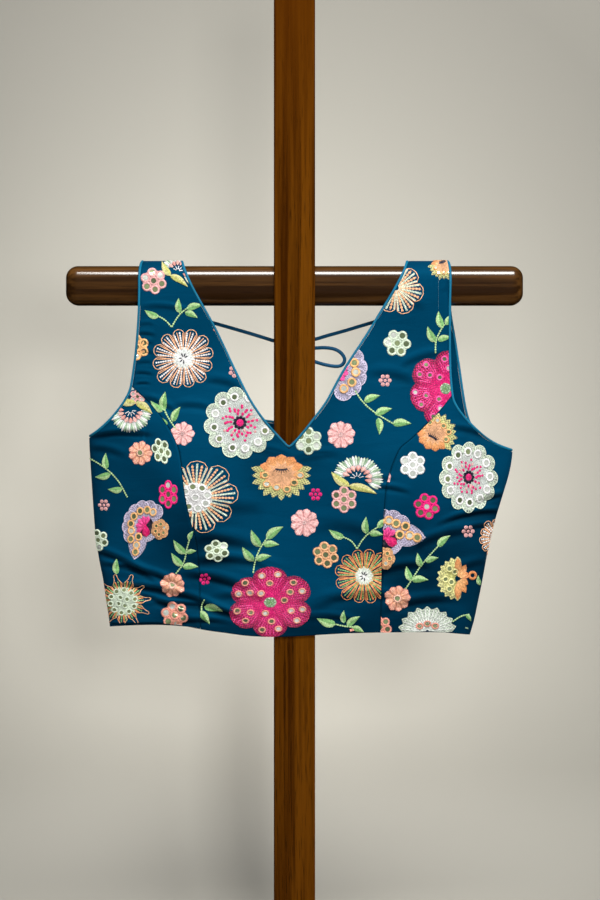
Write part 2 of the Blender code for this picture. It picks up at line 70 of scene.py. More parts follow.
class Hue(Enum):
    """Thread and cloth colours, as display values from 0 to 255."""

    CLOTH = (0, 42, 66)
    PIPING = (6, 84, 112)
    CORD = (3, 64, 96)
    NAVY = (8, 14, 44)
    LEAF = (188, 226, 160)
    LEAF_DEEP = (132, 190, 116)
    MINT = (220, 236, 214)
    MINT_DEEP = (152, 186, 152)
    WHITE = (248, 248, 250)
    IVORY = (228, 236, 232)
    PINK = (246, 184, 184)
    PINK_PALE = (254, 216, 212)
    CORAL = (240, 160, 142)
    CORAL_DEEP = (196, 100, 96)
    CORAL_PALE = (252, 200, 180)
    MAGENTA = (244, 20, 128)
    MAGENTA_DEEP = (214, 4, 98)
    MAGENTA_LIT = (252, 92, 172)
    LAVENDER = (222, 212, 240)
    LAVENDER_DEEP = (200, 192, 230)
    ORANGE = (248, 190, 128)
    ORANGE_DEEP = (226, 142, 84)
    PEACH = (248, 186, 140)
    LIME = (238, 234, 164)
    LIME_DEEP = (214, 214, 122)
    # Mirror glass: the colours stand for what the glass reflects, as painted reflection; the darker one is
    # also the colour of clouded glass.
    MIRROR = (146, 160, 118)
    MIRROR_DARK = (104, 118, 88)
    MIRROR_LIT = (226, 232, 226)

    @property
    def linear(self) -> Colour:
        """The colour as linear light."""
        return tuple(linear(channel / 255) for channel in self.value)


def linear(value: float) -> float:
    """One display channel as linear light.

    Args:
        value: the channel, from 0 to 1.

    Returns:
        The linear value.
    """
    return value / 12.92 if value <= 0.04045 else ((value + 0.055) / 1.055) ** 2.4


class Graph:
    """Adds nodes to one node tree, with their sockets and settings given by name."""

    def __init__(self, tree: NodeTree) -> None:
        self.tree = tree

    def add(self, kind: str, **values) -> Node:
        """Adds a node.

        Args:
            kind: the node's type without its ShaderNode prefix, or the whole of it for a group's ends.
            values: settings and inputs by name, with _ for a space. A socket is linked.

        Returns:
            The new node.
        """
        whole = kind if kind.startswith("Node") else "ShaderNode" + kind
        node = self.tree.nodes.new(whole)
        for name, value in values.items():
            if hasattr(node, name) and not isinstance(value, NodeSocket):
                setattr(node, name, value)
            else:
                self.feed(node.inputs[name.replace("_", " ")], value)
        return node

    def feed(self, socket: NodeSocket, value) -> None:
        """Links a socket to another, or sets its value."""
        if isinstance(value, NodeSocket):
            self.tree.links.new(value, socket)
        elif socket.type == "RGBA" and len(value) == 3:
            socket.default_value = (*value, 1.0)
        else:
            socket.default_value = value

    def math(self, operation: str, a, b=0.0) -> NodeSocket:
        """The result of one calculation on two values or sockets."""
        node = self.add("Math", operation=operation)
        self.feed(node.inputs[0], a)
        self.feed(node.inputs[1], b)
        return node.outputs[0]

    def times(self, a, b) -> NodeSocket:
        """The product of two values or sockets."""
        return self.math("MULTIPLY", a, b)

    def plus(self, a, b) -> NodeSocket:
        """The sum of two values or sockets."""
        return self.math("ADD", a, b)

    def mix(self, share, a, b, blend: str = "MIX") -> NodeSocket:
        """A colour mixed from two others."""
        node = self.add("Mix", data_type="RGBA", blend_type=blend)
        for index, value in ((0, share), (6, a), (7, b)):
            self.feed(node.inputs[index], value)
        return node.outputs[2]

    def span(self, value, low: float, high: float, to_low: float = 0.0, to_high: float = 1.0) -> NodeSocket:
        """A value moved from one range to another, held at its ends."""
        node = self.add("MapRange")
        for index, number in enumerate((value, low, high, to_low, to_high)):
            self.feed(node.inputs[index], number)
        return node.outputs[0]

    def noise(self, vector, scale: float, detail: float = 2.0, distortion: float = 0.0) -> NodeSocket:
        """Smooth noise at a scale, from 0 to 1."""
        node = self.add("TexNoise", Vector=vector, Scale=scale, Detail=detail, Distortion=distortion)
        return node.outputs["Fac"]

    def streaks(
        self, vector, scale: tuple[float, float, float], detail: float, distortion: float = 0.0
    ) -> NodeSocket:
        """Noise with a scale of its own on each axis."""
        drawn = self.add("Mapping", Vector=vector, Scale=scale).outputs[0]
        return self.noise(drawn, 1.0, detail, distortion)

    def place(self) -> NodeSocket:
        """The place on the piece, in metres."""
        return self.add("TexCoord").outputs["Object"]


def effect(name: str, inputs: dict[str, float], fill) -> NodeTree:
    """A node group shared by several finishes.

    Args:
        name: the group's name.
        inputs: its number inputs and their defaults.
        fill: called with the group's graph and its inputs by name; returns the outputs by name.

    Returns:
        The group, made once.
    """
    if name in bpy.data.node_groups:
        return bpy.data.node_groups[name]
    tree = bpy.data.node_groups.new(name, "ShaderNodeTree")
    tree.interface.new_socket("Vector", in_out="INPUT", socket_type="NodeSocketVector")
    for label, default in inputs.items():
        socket = tree.interface.new_socket(label, in_out="INPUT", socket_type="NodeSocketFloat")
        socket.default_value = default
    graph = Graph(tree)
    start = graph.add("NodeGroupInput")
    made = fill(graph, {socket.name: socket for socket in start.outputs if socket.name})
    for label in made:
        tree.interface.new_socket(label, in_out="OUTPUT", socket_type="NodeSocketFloat")
    end = graph.add("NodeGroupOutput")
    for label, socket in made.items():
        graph.feed(end.inputs[label], socket)
    return tree


def weave() -> NodeTree:
    """Crossed threads: a height for bumps and a mask of the raised ones."""

    def fill(graph: Graph, given: dict) -> dict:
        """Fills the group and returns its outputs by name."""
        parts = graph.add("SeparateXYZ", Vector=given["Vector"]).outputs
        turn = graph.math("DIVIDE", 2 * math.pi, given["Thread"])
        across = graph.math("SINE", graph.times(parts["X"], turn))
        up = graph.math("SINE", graph.times(parts["Z"], turn))
        crossed = graph.times(across, up)
        slub = graph.streaks(given["Vector"], (300.0, 300.0, 1800.0), 3.0)
        height = graph.plus(graph.times(crossed, 0.35), slub)
        return {"Height": height, "Raised": graph.span(crossed, -1.0, 1.0)}

    return effect("weave", {"Thread": 0.0006}, fill)


def stitches() -> NodeTree:
    """Satin thread laid along U, a few to the millimetre, with a lace of crossed lines where it is open."""

    def fill(graph: Graph, given: dict) -> dict:
        """Fills the group and returns its outputs by name."""
        parts = graph.add("SeparateXYZ", Vector=given["Vector"]).outputs
        wobble = graph.noise(given["Vector"], 0.5, 2.0)
        lane = graph.plus(parts["Y"], graph.times(wobble, 0.35))
        rib = graph.math("SINE", graph.times(lane, given["Ribs"]))
        fine = graph.streaks(given["Vector"], (0.35, 3.2, 1.0), 3.0)
        strand = graph.streaks(given["Vector"], (0.3, 1.15, 1.0), 1.0)
        streak = graph.plus(graph.times(fine, 0.45), graph.times(strand, 0.55))
        slope = graph.times(graph.plus(parts["X"], parts["Y"]), 1.9)
        other = graph.times(graph.math("SUBTRACT", parts["X"], parts["Y"]), 1.9)
        lines = graph.math("MAXIMUM", graph.math("SINE", slope), graph.math("SINE", other))
        lace = graph.span(lines, 0.25, 0.7)
        height = graph.plus(graph.times(rib, 0.5), graph.times(streak, 0.9))
        return {"Height": height, "Streak": streak, "Lace": lace}

    return effect("stitches", {"Ribs": 11.0}, fill)


def timber() -> NodeTree:
    """Grain that runs along X: a tone from dark to light, and fine pores."""

    def fill(graph: Graph, given: dict) -> dict:
        """Fills the group and returns its outputs by name."""
        bend = graph.noise(given["Vector"], 3.0, 2.0)
        drift = graph.streaks(given["Vector"], (1.4, 46.0, 46.0), 5.0, 0.35)
        lines = graph.math("SINE", graph.plus(graph.times(drift, 34.0), bend))
        fine = graph.streaks(given["Vector"], (6.0, 420.0, 420.0), 2.0)
        pores = graph.streaks(given["Vector"], (40.0, 900.0, 900.0), 2.0)
        tone = graph.plus(graph.times(lines, 0.07), graph.times(drift, 0.6))
        tone = graph.plus(tone, graph.times(fine, 0.4))
        return {"Tone": tone, "Pores": pores}

    return effect("timber", {}, fill)


@dataclass(frozen=True)
class Finish:
    """How a surface looks: the values of its own shader, and what its nodes feed it."""

    name: str
    slot: str
    roughness: float
    values: dict = field(default_factory=dict)

    def start(self) -> tuple[Material, Graph, Node]:
        """A new material of this name, its graph and its shader."""
        made = bpy.data.materials.new(self.name)
        made.use_nodes = True
        graph = Graph(made.node_tree)
        shader = made.node_tree.nodes["Principled BSDF"]
        shader.inputs["Roughness"].default_value = self.roughness
        for label, value in self.values.items():
            graph.feed(shader.inputs[label], value)
        return made, graph, shader

    def bump(self, graph: Graph, shader: Node, height, depth: float, strength: float = 1.0) -> None:
        """Gives the shader a bump of that depth in metres."""
        node = graph.add("Bump", Strength=strength, Distance=depth, Height=height)
        graph.feed(shader.inputs["Normal"], node.outputs[0])


@dataclass(frozen=True)
class ClothFinish(Finish):
    """Smooth woven cloth with a soft sheen, paler in random patches, with painted shade and painted light
    that follow its tone attribute.
    """

    hue: Hue = Hue.CLOTH
    # The paler colour of random patches and of the weave, and of painted light on ridges and swells
    pale_and_lit: Colour = (0.0, 0.033, 0.078)
    deep: Colour = (0.0, 0.014, 0.034)
    # The colour of painted shade in troughs and broad hollows
    shadow: Colour = (0.0, 0.003, 0.009)
    thread: float = 0.0006

    def build(self) -> Material:
        """Makes the material."""
        made, graph, shader = self.start()
        where = graph.place()
        threads = graph.add("Group", node_tree=weave(), Vector=where, Thread=self.thread)
        cloud = graph.noise(where, 7.0, 3.0, 0.6)
        streaks = graph.streaks(where, (14.0, 20.0, 46.0), 4.0, 1.2)
        colour = graph.mix(graph.span(cloud, 0.42, 0.66), self.pale_and_lit, self.hue.linear)
        colour = graph.mix(graph.span(cloud, 0.56, 0.8), colour, self.deep)
        colour = graph.mix(graph.span(streaks, 0.5, 0.85, 0.0, 0.2), colour, self.pale_and_lit)
        colour = graph.mix(graph.times(threads.outputs["Raised"], 0.16), colour, self.pale_and_lit)
        # Painted light where the tone is below 0 and painted shade where it is above 0
        tone = graph.add("Attribute", attribute_name="tone").outputs["Fac"]
        colour = graph.mix(graph.span(tone, 0.0, -1.0, 0.0, 0.8), colour, self.pale_and_lit)
        colour = graph.mix(graph.span(tone, 0.0, 1.0, 0.0, 0.9), colour, self.shadow)
        graph.feed(shader.inputs["Base Color"], colour)
        rumple = graph.streaks(where, (20.0, 20.0, 70.0), 3.0, 0.8)
        height = graph.plus(graph.times(rumple, 1.6), graph.times(threads.outputs["Height"], 0.22))
        self.bump(graph, shader, height, 0.0004)
        return made


@dataclass(frozen=True)
class ThreadFinish(Finish):
    """Embroidery thread, coloured by each stitch's own tint with a painted highlight on its brightest
    strands, and open like lace by the tint's alpha.
    """

    # The cloth as it shows through open stitches, darker than the cloth itself as painted shade between the
    # threads
    below: Colour = (0.0, 0.012, 0.03)
    # The colour of the painted highlight on the brightest strands
    shine: Colour = (0.95, 0.93, 0.9)

    def build(self) -> Material:
        """Makes the material."""
        made, graph, shader = self.start()
        tint = graph.add("Attribute", attribute_name="tint")
        lay = graph.add("UVMap", uv_map="threads").outputs[0]
        sewn = graph.add("Group", node_tree=stitches(), Vector=lay)
        shade = graph.span(sewn.outputs["Streak"], 0.38, 0.6, 0.42, 1.14)
        grey = graph.add("CombineColor", Red=shade, Green=shade, Blue=shade).outputs[0]
        colour = graph.mix(1.0, tint.outputs["Color"], grey, "MULTIPLY")
        # Painted highlight: the brightest strands are lightened towards that colour.
        shine = graph.span(sewn.outputs["Streak"], 0.56, 0.66, 0.0, 0.13)
        colour = graph.mix(shine, colour, self.shine)
        # Where the stitches are open, the cloth shows through with painted shade.
        gap = graph.times(tint.outputs["Alpha"], graph.math("SUBTRACT", 1.0, sewn.outputs["Lace"]))
        below = graph.mix(0.12, self.below, tint.outputs["Color"])
        colour = graph.mix(gap, colour, below)
        graph.feed(shader.inputs["Base Color"], colour)
        height = graph.plus(sewn.outputs["Height"], graph.times(gap, -2.0))
        self.bump(graph, shader, height, 0.00024, 1.0)
        return made


@dataclass(frozen=True)
class MirrorFinish(Finish):
    """Small glass mirrors, each a little different in tint as painted reflection, and slightly clouded."""

    def build(self) -> Material:
        """Makes the material."""
        made, graph, shader = self.start()
        tint = graph.add("Attribute", attribute_name="tint").outputs["Color"]
        where = graph.place()
        cloud = graph.noise(where, 420.0, 2.0)
        clouded = graph.mix(graph.span(cloud, 0.4, 0.8, 0.0, 0.45), tint, Hue.MIRROR_DARK.linear)
        graph.feed(shader.inputs["Base Color"], clouded)
        rough = graph.span(cloud, 0.3, 0.8, self.roughness, self.roughness + 0.2)
        graph.feed(shader.inputs["Roughness"], rough)
        self.bump(graph, shader, graph.noise(where, 160.0), 0.0002)
        return made


@dataclass(frozen=True)
class WoodFinish(Finish):
    """Dark varnished wood with grain along one axis, darker towards its edges, and with painted shade
    towards its top.
    """

    along: str = "X"
    middle: tuple[float, float] = (0.0, 0.0)
    half: tuple[float, float] = (0.02, 0.02)
    # How much painted shade darkens the piece towards its top, and the heights in metres over which it grows
    painted_top_shade: float = 0.0
    painted_top_shade_span: tuple[float, float] = (0.72, 0.98)
    dark: Colour = (0.046, 0.0118, 0.0005)
    light: Colour = (0.175, 0.056, 0.0028)
    pore: Colour = (0.008, 0.0022, 0.0005)
    # The colour that the wood darkens to towards its edges
    edge_colour: Colour = (0.005, 0.0016, 0.0004)

    def build(self) -> Material:
        """Makes the material."""
        made, graph, shader = self.start()
        where = graph.place()
        parts = graph.add("SeparateXYZ", Vector=where).outputs
        order = {"X": "XYZ", "Z": "ZYX"}[self.along]
        turned = graph.add("CombineXYZ", X=parts[order[0]], Y=parts[order[1]], Z=parts[order[2]]).outputs[0]
        grain = graph.add("Group", node_tree=timber(), Vector=turned)
        edge = 0.0
        for axis, middle, half in zip(order[1:], self.middle, self.half):
            offset = graph.math("ABSOLUTE", graph.math("SUBTRACT", parts[axis], middle))
            edge = graph.math("MAXIMUM", edge, graph.span(offset, half * 0.8, half))
        colour = graph.mix(graph.span(grain.outputs["Tone"], 0.34, 0.66), self.dark, self.light)
        colour = graph.mix(graph.span(grain.outputs["Pores"], 0.56, 0.7, 0.0, 0.55), colour, self.pore)
        # Darker towards the edges of the piece's section
        colour = graph.mix(graph.times(edge, 0.5), colour, self.edge_colour)
        # Painted shade towards the top of the piece
        colour = graph.mix(graph.span(parts["Z"], *self.painted_top_shade_span, 0.0, self.painted_top_shade), colour, self.dark)
        graph.feed(shader.inputs["Base Color"], colour)
        self.bump(graph, shader, grain.outputs["Pores"], 0.00012, 0.35)
        return made


CLOTH = ClothFinish(
    "blouse_cloth", "cloth", 0.5,
    {"Sheen Weight": 0.12, "Sheen Roughness": 0.35, "Sheen Tint": (0.05, 0.5, 0.8),
     "Specular IOR Level": 0.16, "Specular Tint": (0.0, 0.55, 1.0)},
)
PIPING = ClothFinish(
    "edge_piping", "piping", 0.45,
    {"Sheen Weight": 0.1, "Sheen Tint": (0.1, 0.5, 0.8), "Specular IOR Level": 0.2},
    Hue.PIPING, (0.002, 0.13, 0.24), (0.0, 0.055, 0.1), (0.0, 0.02, 0.045), 0.0005,
)
CORDAGE = ClothFinish(
    "tie_cloth", "cloth", 0.5,
    {"Sheen Weight": 0.15, "Sheen Tint": (0.2, 0.6, 0.8), "Specular IOR Level": 0.25},
    Hue.CORD, (0.002, 0.06, 0.14), (0.0, 0.016, 0.04), thread=0.0005,
)
THREAD = ThreadFinish("embroidery_thread", "cloth", 0.42, {"Sheen Weight": 0.05, "Specular IOR Level": 0.4})
MIRROR = MirrorFinish("mirror_glass", "cloth", 0.12, {"Metallic": 0.45, "Coat Weight": 0.6})
VARNISH = {"Coat Weight": 1.0, "Coat Roughness": 0.04, "Coat IOR": 1.55, "Specular IOR Level": 0.0}
# The post takes 0.8 of painted shade towards its top.
POST_WOOD = WoodFinish("post_wood", "wood", 0.4, VARNISH, "Z", (0.0, 0.0), (0.0220, 0.0205), 0.8)
BAR_WOOD = WoodFinish(
    "bar_wood", "wood", 0.3, VARNISH | {"Specular IOR Level": 0.3, "Coat Roughness": 0.13},
    "X", (0.0, 0.669), (0.019, 0.0195), dark=(0.02, 0.0075, 0.0015), light=(0.1, 0.042, 0.009),
)
BASE_WOOD = WoodFinish("base_wood", "wood", 0.42, VARNISH, "X", (0.0, 0.012), (0.14, 0.02))


def settle(made: Object, finish: Finish, *nodes: str) -> Object:
    """Gives a piece its finish and its place in the frame.

    Args:
        made: the new piece.
        finish: the finish whose material it shows.
        nodes: the solids of the frame that it stands for.

    Returns:
        The piece.
    """
    made.data.materials.clear()
    made.data.materials.append(bpy.data.materials.get(finish.name) or finish.build())
    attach(made, BODY)
    if nodes:
        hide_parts(*nodes)
    log.info("%s: %s", made.name, finish.name)
    return made


def new_object(name: str, data: ID) -> Object:
    """An object of that name in the scene."""
    made = bpy.data.objects.new(name, data)
    bpy.context.scene.collection.objects.link(made)
    return made


@dataclass(frozen=True)
class Fold:
    """One crease: a soft trough with a low ridge beside it, fading out towards its ends."""

    x: float
    height: float
    angle: float
    length: float
    width: float
    depth: float

    def lift(self, x: np.ndarray, height: np.ndarray) -> np.ndarray:
        """How far out the cloth moves, in millimetres, at places given by x and height."""
        turn = math.radians(self.angle)
        bow = 0.06 * self.length
        run = (x - self.x) * math.cos(turn) + (height - self.height) * math.sin(turn)
        run = run / (self.length / 2)
        across = (height - self.height) * math.cos(turn) - (x - self.x) * math.sin(turn)
        across = (across - bow * (1 - run**2).clip(-3, 1)) / self.width
        fade = np.exp(-(run**4))
        return self.depth * fade * (0.55 * np.exp(-((across - 1.5) ** 2)) - np.exp(-(across**2)))


# columns: x, height, angle, length, width, depth
FRONT_CREASES = (
    (-176, 194, 3, 60, 3, 3.2),
    (-188, 178, -10, 34, 4, 1.9),
    (-176, 68, -24, 70, 3.2, 3.5),
    (-152, 56, -15, 84, 3, 3),
    (-120, 32, -14, 110, 3.4, 4.1),
    (-132, 26, -24, 56, 3, 2.4),
    (-96, 21, -9, 90, 3, 3.2),
    (-64, 86, -12, 60, 6, 2.2),
    (-56, 66, -6, 78, 5, 2.7),
    (-74, 47, -15, 70, 4.6, 3.2),
    (-46, 30, -8, 64, 4.4, 2.3),
    (-100, 8, 4, 60, 3, 2.2),
    (180, 114, 9, 66, 2.8, 3),
    (196, 132, 15, 34, 2.6, 2.7),
    (190, 103, 2, 40, 3, 2),
    (150, 92, 14, 60, 5, 2.2),
    (172, 62, 18, 44, 4, 1.8),
    (96, 141, -9, 34, 2.6, 2.4),
    (84, 150, 6, 26, 3, 1.4),
    (104, 60, 10, 56, 5, 2.2),
    (60, 30, 5, 84, 5, 2.4),
    (126, 26, 8, 70, 4.6, 2.4),
    (30, 12, -3, 60, 3.4, 1.6),
    (20, 172, 8, 40, 4, 1.9),
    (-20, 176, -14, 30, 4, 1.6),
    (-62, 118, 4, 60, 7, 1.6),
    (40, 100, -5, 70, 7, 1.6),
    (-72, 246, -12, 30, 4, 1.6),
    (-101, 222, -4, 36, 3.6, 1.9),
    (-136, 226, -24, 34, 3, 1.9),
    (-128, 321, -6, 44, 2, 2.7),
    (-147, 306, 2, 13, 1.6, 1.6),
    (-148, 296, -3, 16, 1.7, 1.9),
    (-147, 287, 4, 12, 1.5, 1.5),
    (-149, 278, -2, 15, 1.6, 1.9),
    (-149, 268, 3, 13, 1.5, 1.5),
    (-150, 257, -4, 16, 1.7, 1.8),
    (-151, 247, 2, 13, 1.6, 1.5),
    (112, 330, -24, 34, 4, 1.8),
    (96, 252, -10, 40, 5, 1.6),
    (128, 270, 16, 40, 4, 1.6),
    (176, 196, -16, 46, 3.6, 2),
    (-146, 197, 88, 34, 1.2, 0.8),
)
BACK_CREASES = (
    (-170, 188, 8, 52, 4, 2.6),
    (178, 172, -10, 52, 4, 2.9),
    (-150, 96, -12, 70, 5, 2.5),
    (-120, 60, -16, 86, 4.4, 3.1),
    (-90, 30, -8, 76, 4.6, 2.6),
    (-40, 70, 10, 50, 6, 1.8),
    (150, 104, 12, 70, 5, 2.6),
    (112, 62, 14, 84, 4.6, 3),
    (76, 24, 7, 80, 4.8, 2.5),
    (40, 110, -12, 46, 6, 1.7),
    (-112, 268, 14, 34, 4, 1.7),
    (118, 276, -12, 34, 4, 1.7),
)
# Painted shade over broad hollows, and painted light over swells where the amount is negative.
# columns: x, height, half width, half height, amount
FRONT_TONES = (
    (-98, 86, 44, 34, 0.82),
    (118, 70, 64, 46, 0.8),
    (20, 4, 170, 18, 0.8),
    (192, 120, 30, 22, 0.55),
    (-186, 44, 34, 26, 0.5),
    (112, 306, 66, 46, 0.34),
    (-92, 300, 40, 50, 0.18),
    (-108, 194, 56, 28, -0.75),
    (98, 198, 56, 26, -0.6),
    (-4, 86, 38, 28, -0.4),
    (-176, 100, 24, 30, -0.3),
)
BACK_TONES = (
    (-96, 80, 56, 38, 0.5),
    (104, 74, 56, 36, 0.5),
    (0, 4, 180, 16, 0.55),
    (-100, 200, 70, 40, -0.5),
    (110, 190, 70, 40, -0.5),
)
TONES = {Side.FRONT: FRONT_TONES, Side.BACK: BACK_TONES}
# The depth of a trough in full painted shade and the height of a ridge in full painted light
FULL_TROUGH, FULL_RIDGE = 3.0, 2.0
# The cloth may move in towards the post and the bar only where it stands clear of them.
POST_CLEAR = (25.0, 40.0)
BAR_CLEAR = (312.0, 296.0)
# Ridges fade out up to the top of the straps, and creases towards the middle of the blouse's depth.
STRAP_TOP, STRAP_FADE = 348.0, 20.0
SIDE_FADE = 0.006


class Drape:
    """The creases of the whole blouse, which its shells and its piping share, and the painted shade and
    light that go with them.
    """

    def __init__(self) -> None:
        self.folds = {
            Side.FRONT: [Fold(*row) for row in FRONT_CREASES],
            Side.BACK: [Fold(*row) for row in BACK_CREASES],
        }

    def shape(self, points: np.ndarray) -> np.ndarray:
        """Moves points of the blouse along Y by the creases of the side that they are on.

        Args:
            points: rows of x, y and z in metres.

        Returns:
            The moved points.
        """
        x = points[:, 0] / MM
        height = points[:, 2] / MM - HEM_LEVEL
        lift = {side: sum(fold.lift(x, height) for fold in folds) for side, folds in self.folds.items()}
        clear = np.clip((np.abs(x) - POST_CLEAR[0]) / (POST_CLEAR[1] - POST_CLEAR[0]), 0, 1)
        clear *= np.clip((BAR_CLEAR[0] - height) / (BAR_CLEAR[0] - BAR_CLEAR[1]), 0, 1)
        moved = points.copy()
        # The tone is painted shade in troughs and broad hollows, and painted light on ridges and swells.
        self.tone = np.zeros(len(points))
        for side, amount in lift.items():
            shade = np.clip(-amount / FULL_TROUGH, 0, 1) * 0.8 - np.clip(amount / FULL_RIDGE, 0, 0.5)
            for at, level, wide, tall, much in TONES[side]:
                shade += much * np.exp(-(((x - at) / wide) ** 2) - ((height - level) / tall) ** 2)
            self.tone += shade * (points[:, 1] * side.value > 0)
            below = np.clip((STRAP_TOP - height) / STRAP_FADE, 0, 1)
            amount = np.where(amount < 0, amount * clear, amount * below)
            there = np.clip(points[:, 1] * side.value / SIDE_FADE, 0, 1)
            moved[:, 1] += side.value * amount * there * MM
        return moved


class Shell:
    """A thin smooth piece on the form of one solid of the frame."""

    def __init__(
        self, node: str, drape: Drape, finish: Finish, levels: int, sharp: float, swell: float = 0.0
    ) -> None:
        """Makes the piece.

        Args:
            node: the solid that it stands for.
            drape: the creases that it takes.
            finish: its finish.
            levels: how many times its faces are divided.
            sharp: the angle in degrees above which an edge stays sharp.
            swell: how much thicker it is all round than its solid.
        """
        mesh = bmesh.new()
        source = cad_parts[node]
        mesh.from_mesh(source.data)
        bmesh.ops.remove_doubles(mesh, verts=mesh.verts, dist=2e-6)
        bmesh.ops.join_triangles(mesh, faces=mesh.faces, angle_face_threshold=0.8, angle_shape_threshold=2.6)
        bmesh.ops.recalc_face_normals(mesh, faces=mesh.faces)
        crease = mesh.edges.layers.float.new("crease_edge")
        for edge in mesh.edges:
            if len(edge.link_faces) == 2 and edge.calc_face_angle(0.0) > math.radians(sharp):
                edge[crease] = 1.0
        data = bpy.data.meshes.new(node + "_cloth")
        mesh.to_mesh(data)
        mesh.free()
        self.object = new_object(node + "_cloth", data)
        divide = self.object.modifiers.new("divide", "SUBSURF")
        divide.levels = divide.render_levels = levels
        divide.boundary_smooth = "PRESERVE_CORNERS"
        apply_modifiers(self.object)
        points = drape.shape(read_points(self.object.data))
        normals = np.array([tuple(vertex.normal) for vertex in self.object.data.vertices])
        write_points(self.object.data, points + normals * swell * MM)
        # The tone attribute carries painted shade and painted light into the cloth's colour.
        tones = self.object.data.attributes.new("tone", "FLOAT", "POINT")
        tones.data.foreach_set("value", drape.tone)
        smooth_shade(self.object)
        settle(self.object, finish, node)


def read_points(mesh: Mesh) -> np.ndarray:
    """A mesh's points, as rows of x, y and z."""
    flat = np.empty(len(mesh.vertices) * 3)
    mesh.vertices.foreach_get("co", flat)
    return flat.reshape(-1, 3)


def write_points(mesh: Mesh, points: np.ndarray) -> None:
    """Puts a mesh's points at new places."""
    mesh.vertices.foreach_set("co", points.ravel())
    mesh.update()


def choose(made: Object) -> None:
    """Makes a piece the active one and the only one selected."""
    bpy.ops.object.select_all(action="DESELECT")
    made.select_set(True)
    bpy.context.view_layer.objects.active = made


def apply_modifiers(made: Object) -> None:
    """Turns a piece's modifiers into its mesh."""
    choose(made)
    for modifier in list(made.modifiers):
        bpy.ops.object.modifier_apply(modifier=modifier.name)


def smooth_shade(made: Object, angle: float = 55.0) -> None:
    """Shades a piece smoothly, apart from edges sharper than the angle."""
    choose(made)
    bpy.ops.object.shade_smooth_by_angle(angle=math.radians(angle))


class Layer:
    """Many small flat shapes, collected as one set of faces before they are laid on the cloth.

    A corner is kept as x, height and lift in millimetres, then the place on its thread's lay,
    then its tint and how open its stitches are.
    """

    def __init__(self) -> None:
        self.rows: list[np.ndarray] = []
        self.faces: list[tuple[int, ...]] = []
        self.count = 0

    def grid(self, rows: np.ndarray, closed: bool = False) -> None:
        """Adds a sheet of four-sided faces.

        Args:
            rows: an array of rows of corners, each with nine values.
            closed: whether the last corner of each row joins the first.
        """
        tall, wide = rows.shape[:2]
        start = self.count
        for i in range(tall - 1):
            for j in range(wide if closed else wide - 1):
                a, b = start + i * wide + j, start + i * wide + (j + 1) % wide
                self.faces.append((a, b, b + wide, a + wide))
        self.rows.append(rows.reshape(-1, 9))
        self.count += tall * wide

    def lay_on(self, name: str, shell: "Shell", side: Side, finish: Finish) -> Object | None:
        """Lays the shapes on the outer face of a panel, and cuts them off where it ends.

        Args:
            name: the new piece's name.
            shell: the panel's shell.
            side: which way the panel faces.
            finish: the finish of the piece.

        Returns:
            The piece, or None where nothing lies on the panel.
        """
        if not self.rows:
            return None
        cloth = Cloth(shell.object.data, side)
        corners = [tuple(row) for row in np.concatenate(self.rows)]
        places = [cloth.place(row) for row in corners]
        kept = []
        for face in self.faces:
            inside = [places[i] is not None for i in face]
            if all(inside):
                kept.append(face)
            elif any(inside):
                cut = []
                for i, k in enumerate(face):
                    after = face[(i + 1) % len(face)]
                    if places[k] is not None:
                        cut.append(k)
                    if (places[k] is None) != (places[after] is None):
                        corner, place = cloth.edge(corners[k], corners[after])
                        corners.append(corner)
                        places.append(place)
                        cut.append(len(corners) - 1)
                if len(cut) > 2:
                    kept.append(tuple(cut))
        used = sorted({i for face in kept for i in face})
        if not used:
            return None
        order = {old: new for new, old in enumerate(used)}
        mesh = bpy.data.meshes.new(name)
        mesh.from_pydata([places[i] for i in used], [], [tuple(order[i] for i in face) for face in kept])
        values = np.array([corners[i] for i in used])
        tints = mesh.attributes.new("tint", "FLOAT_COLOR", "POINT")
        tints.data.foreach_set("color", values[:, 5:9].ravel())
        lay = mesh.uv_layers.new(name="threads")
        loops = np.empty(len(mesh.loops), dtype=int)
        mesh.loops.foreach_get("vertex_index", loops)
        lay.data.foreach_set("uv", values[loops, 3:5].ravel())
        mesh.update()
        mesh.shade_smooth()
        return settle(new_object(name, mesh), finish)


class Cloth:
    """Finds places on the outer face of one panel.

    It looks from that many metres away, at faces turned at least that much towards it, and finds
    an edge by halving the way to it.
    """

    away = 0.3
    least_facing = 0.12
    halvings = 6

    def __init__(self, mesh: Mesh, side: Side) -> None:
        points = [tuple(place) for place in read_points(mesh)]
        self.tree = BVHTree.FromPolygons(points, [tuple(face.vertices) for face in mesh.polygons])
        self.side = side.value
        self.way = Vector((0.0, -self.side, 0.0))

    def place(self, corner) -> Vector | None:
        """The place on the cloth of a corner, or None off the panel."""
        start = Vector((corner[0] * MM, self.side * self.away, (corner[1] + HEM_LEVEL) * MM))
        hit, normal, _, _ = self.tree.ray_cast(start, self.way)
        if hit is None or normal.y * self.side < self.least_facing:
            return None
        return hit + normal * (corner[2] * MM)

    def edge(self, a: tuple, b: tuple) -> tuple[tuple, Vector]:
        """The last corner on the panel between one on it and one off it, and its place."""
        inside, outside = (a, b) if self.place(a) is not None else (b, a)
        low, high = 0.0, 1.0
        for _ in range(self.halvings):
            share = (low + high) / 2
            if self.place([p + (q - p) * share for p, q in zip(inside, outside)]) is None:
                high = share
            else:
                low = share
        corner = tuple(p + (q - p) * low for p, q in zip(inside, outside))
        return corner, self.place(corner)


# How far the edge of a patch, of a line and of a glass stands off the cloth, and how much a glass tilts
FOOT, LINE_FOOT, GLASS_FOOT, GLASS_TILT = 0.12, 0.14, 0.42, 0.16
# A glass without a colour of its own takes one of these at random: darker and lighter ones are painted
# reflection.
GLASSES = (Hue.MIRROR, Hue.MIRROR_DARK, Hue.MIRROR_LIT, Hue.MIRROR, Hue.MIRROR_LIT, Hue.MIRROR_DARK)


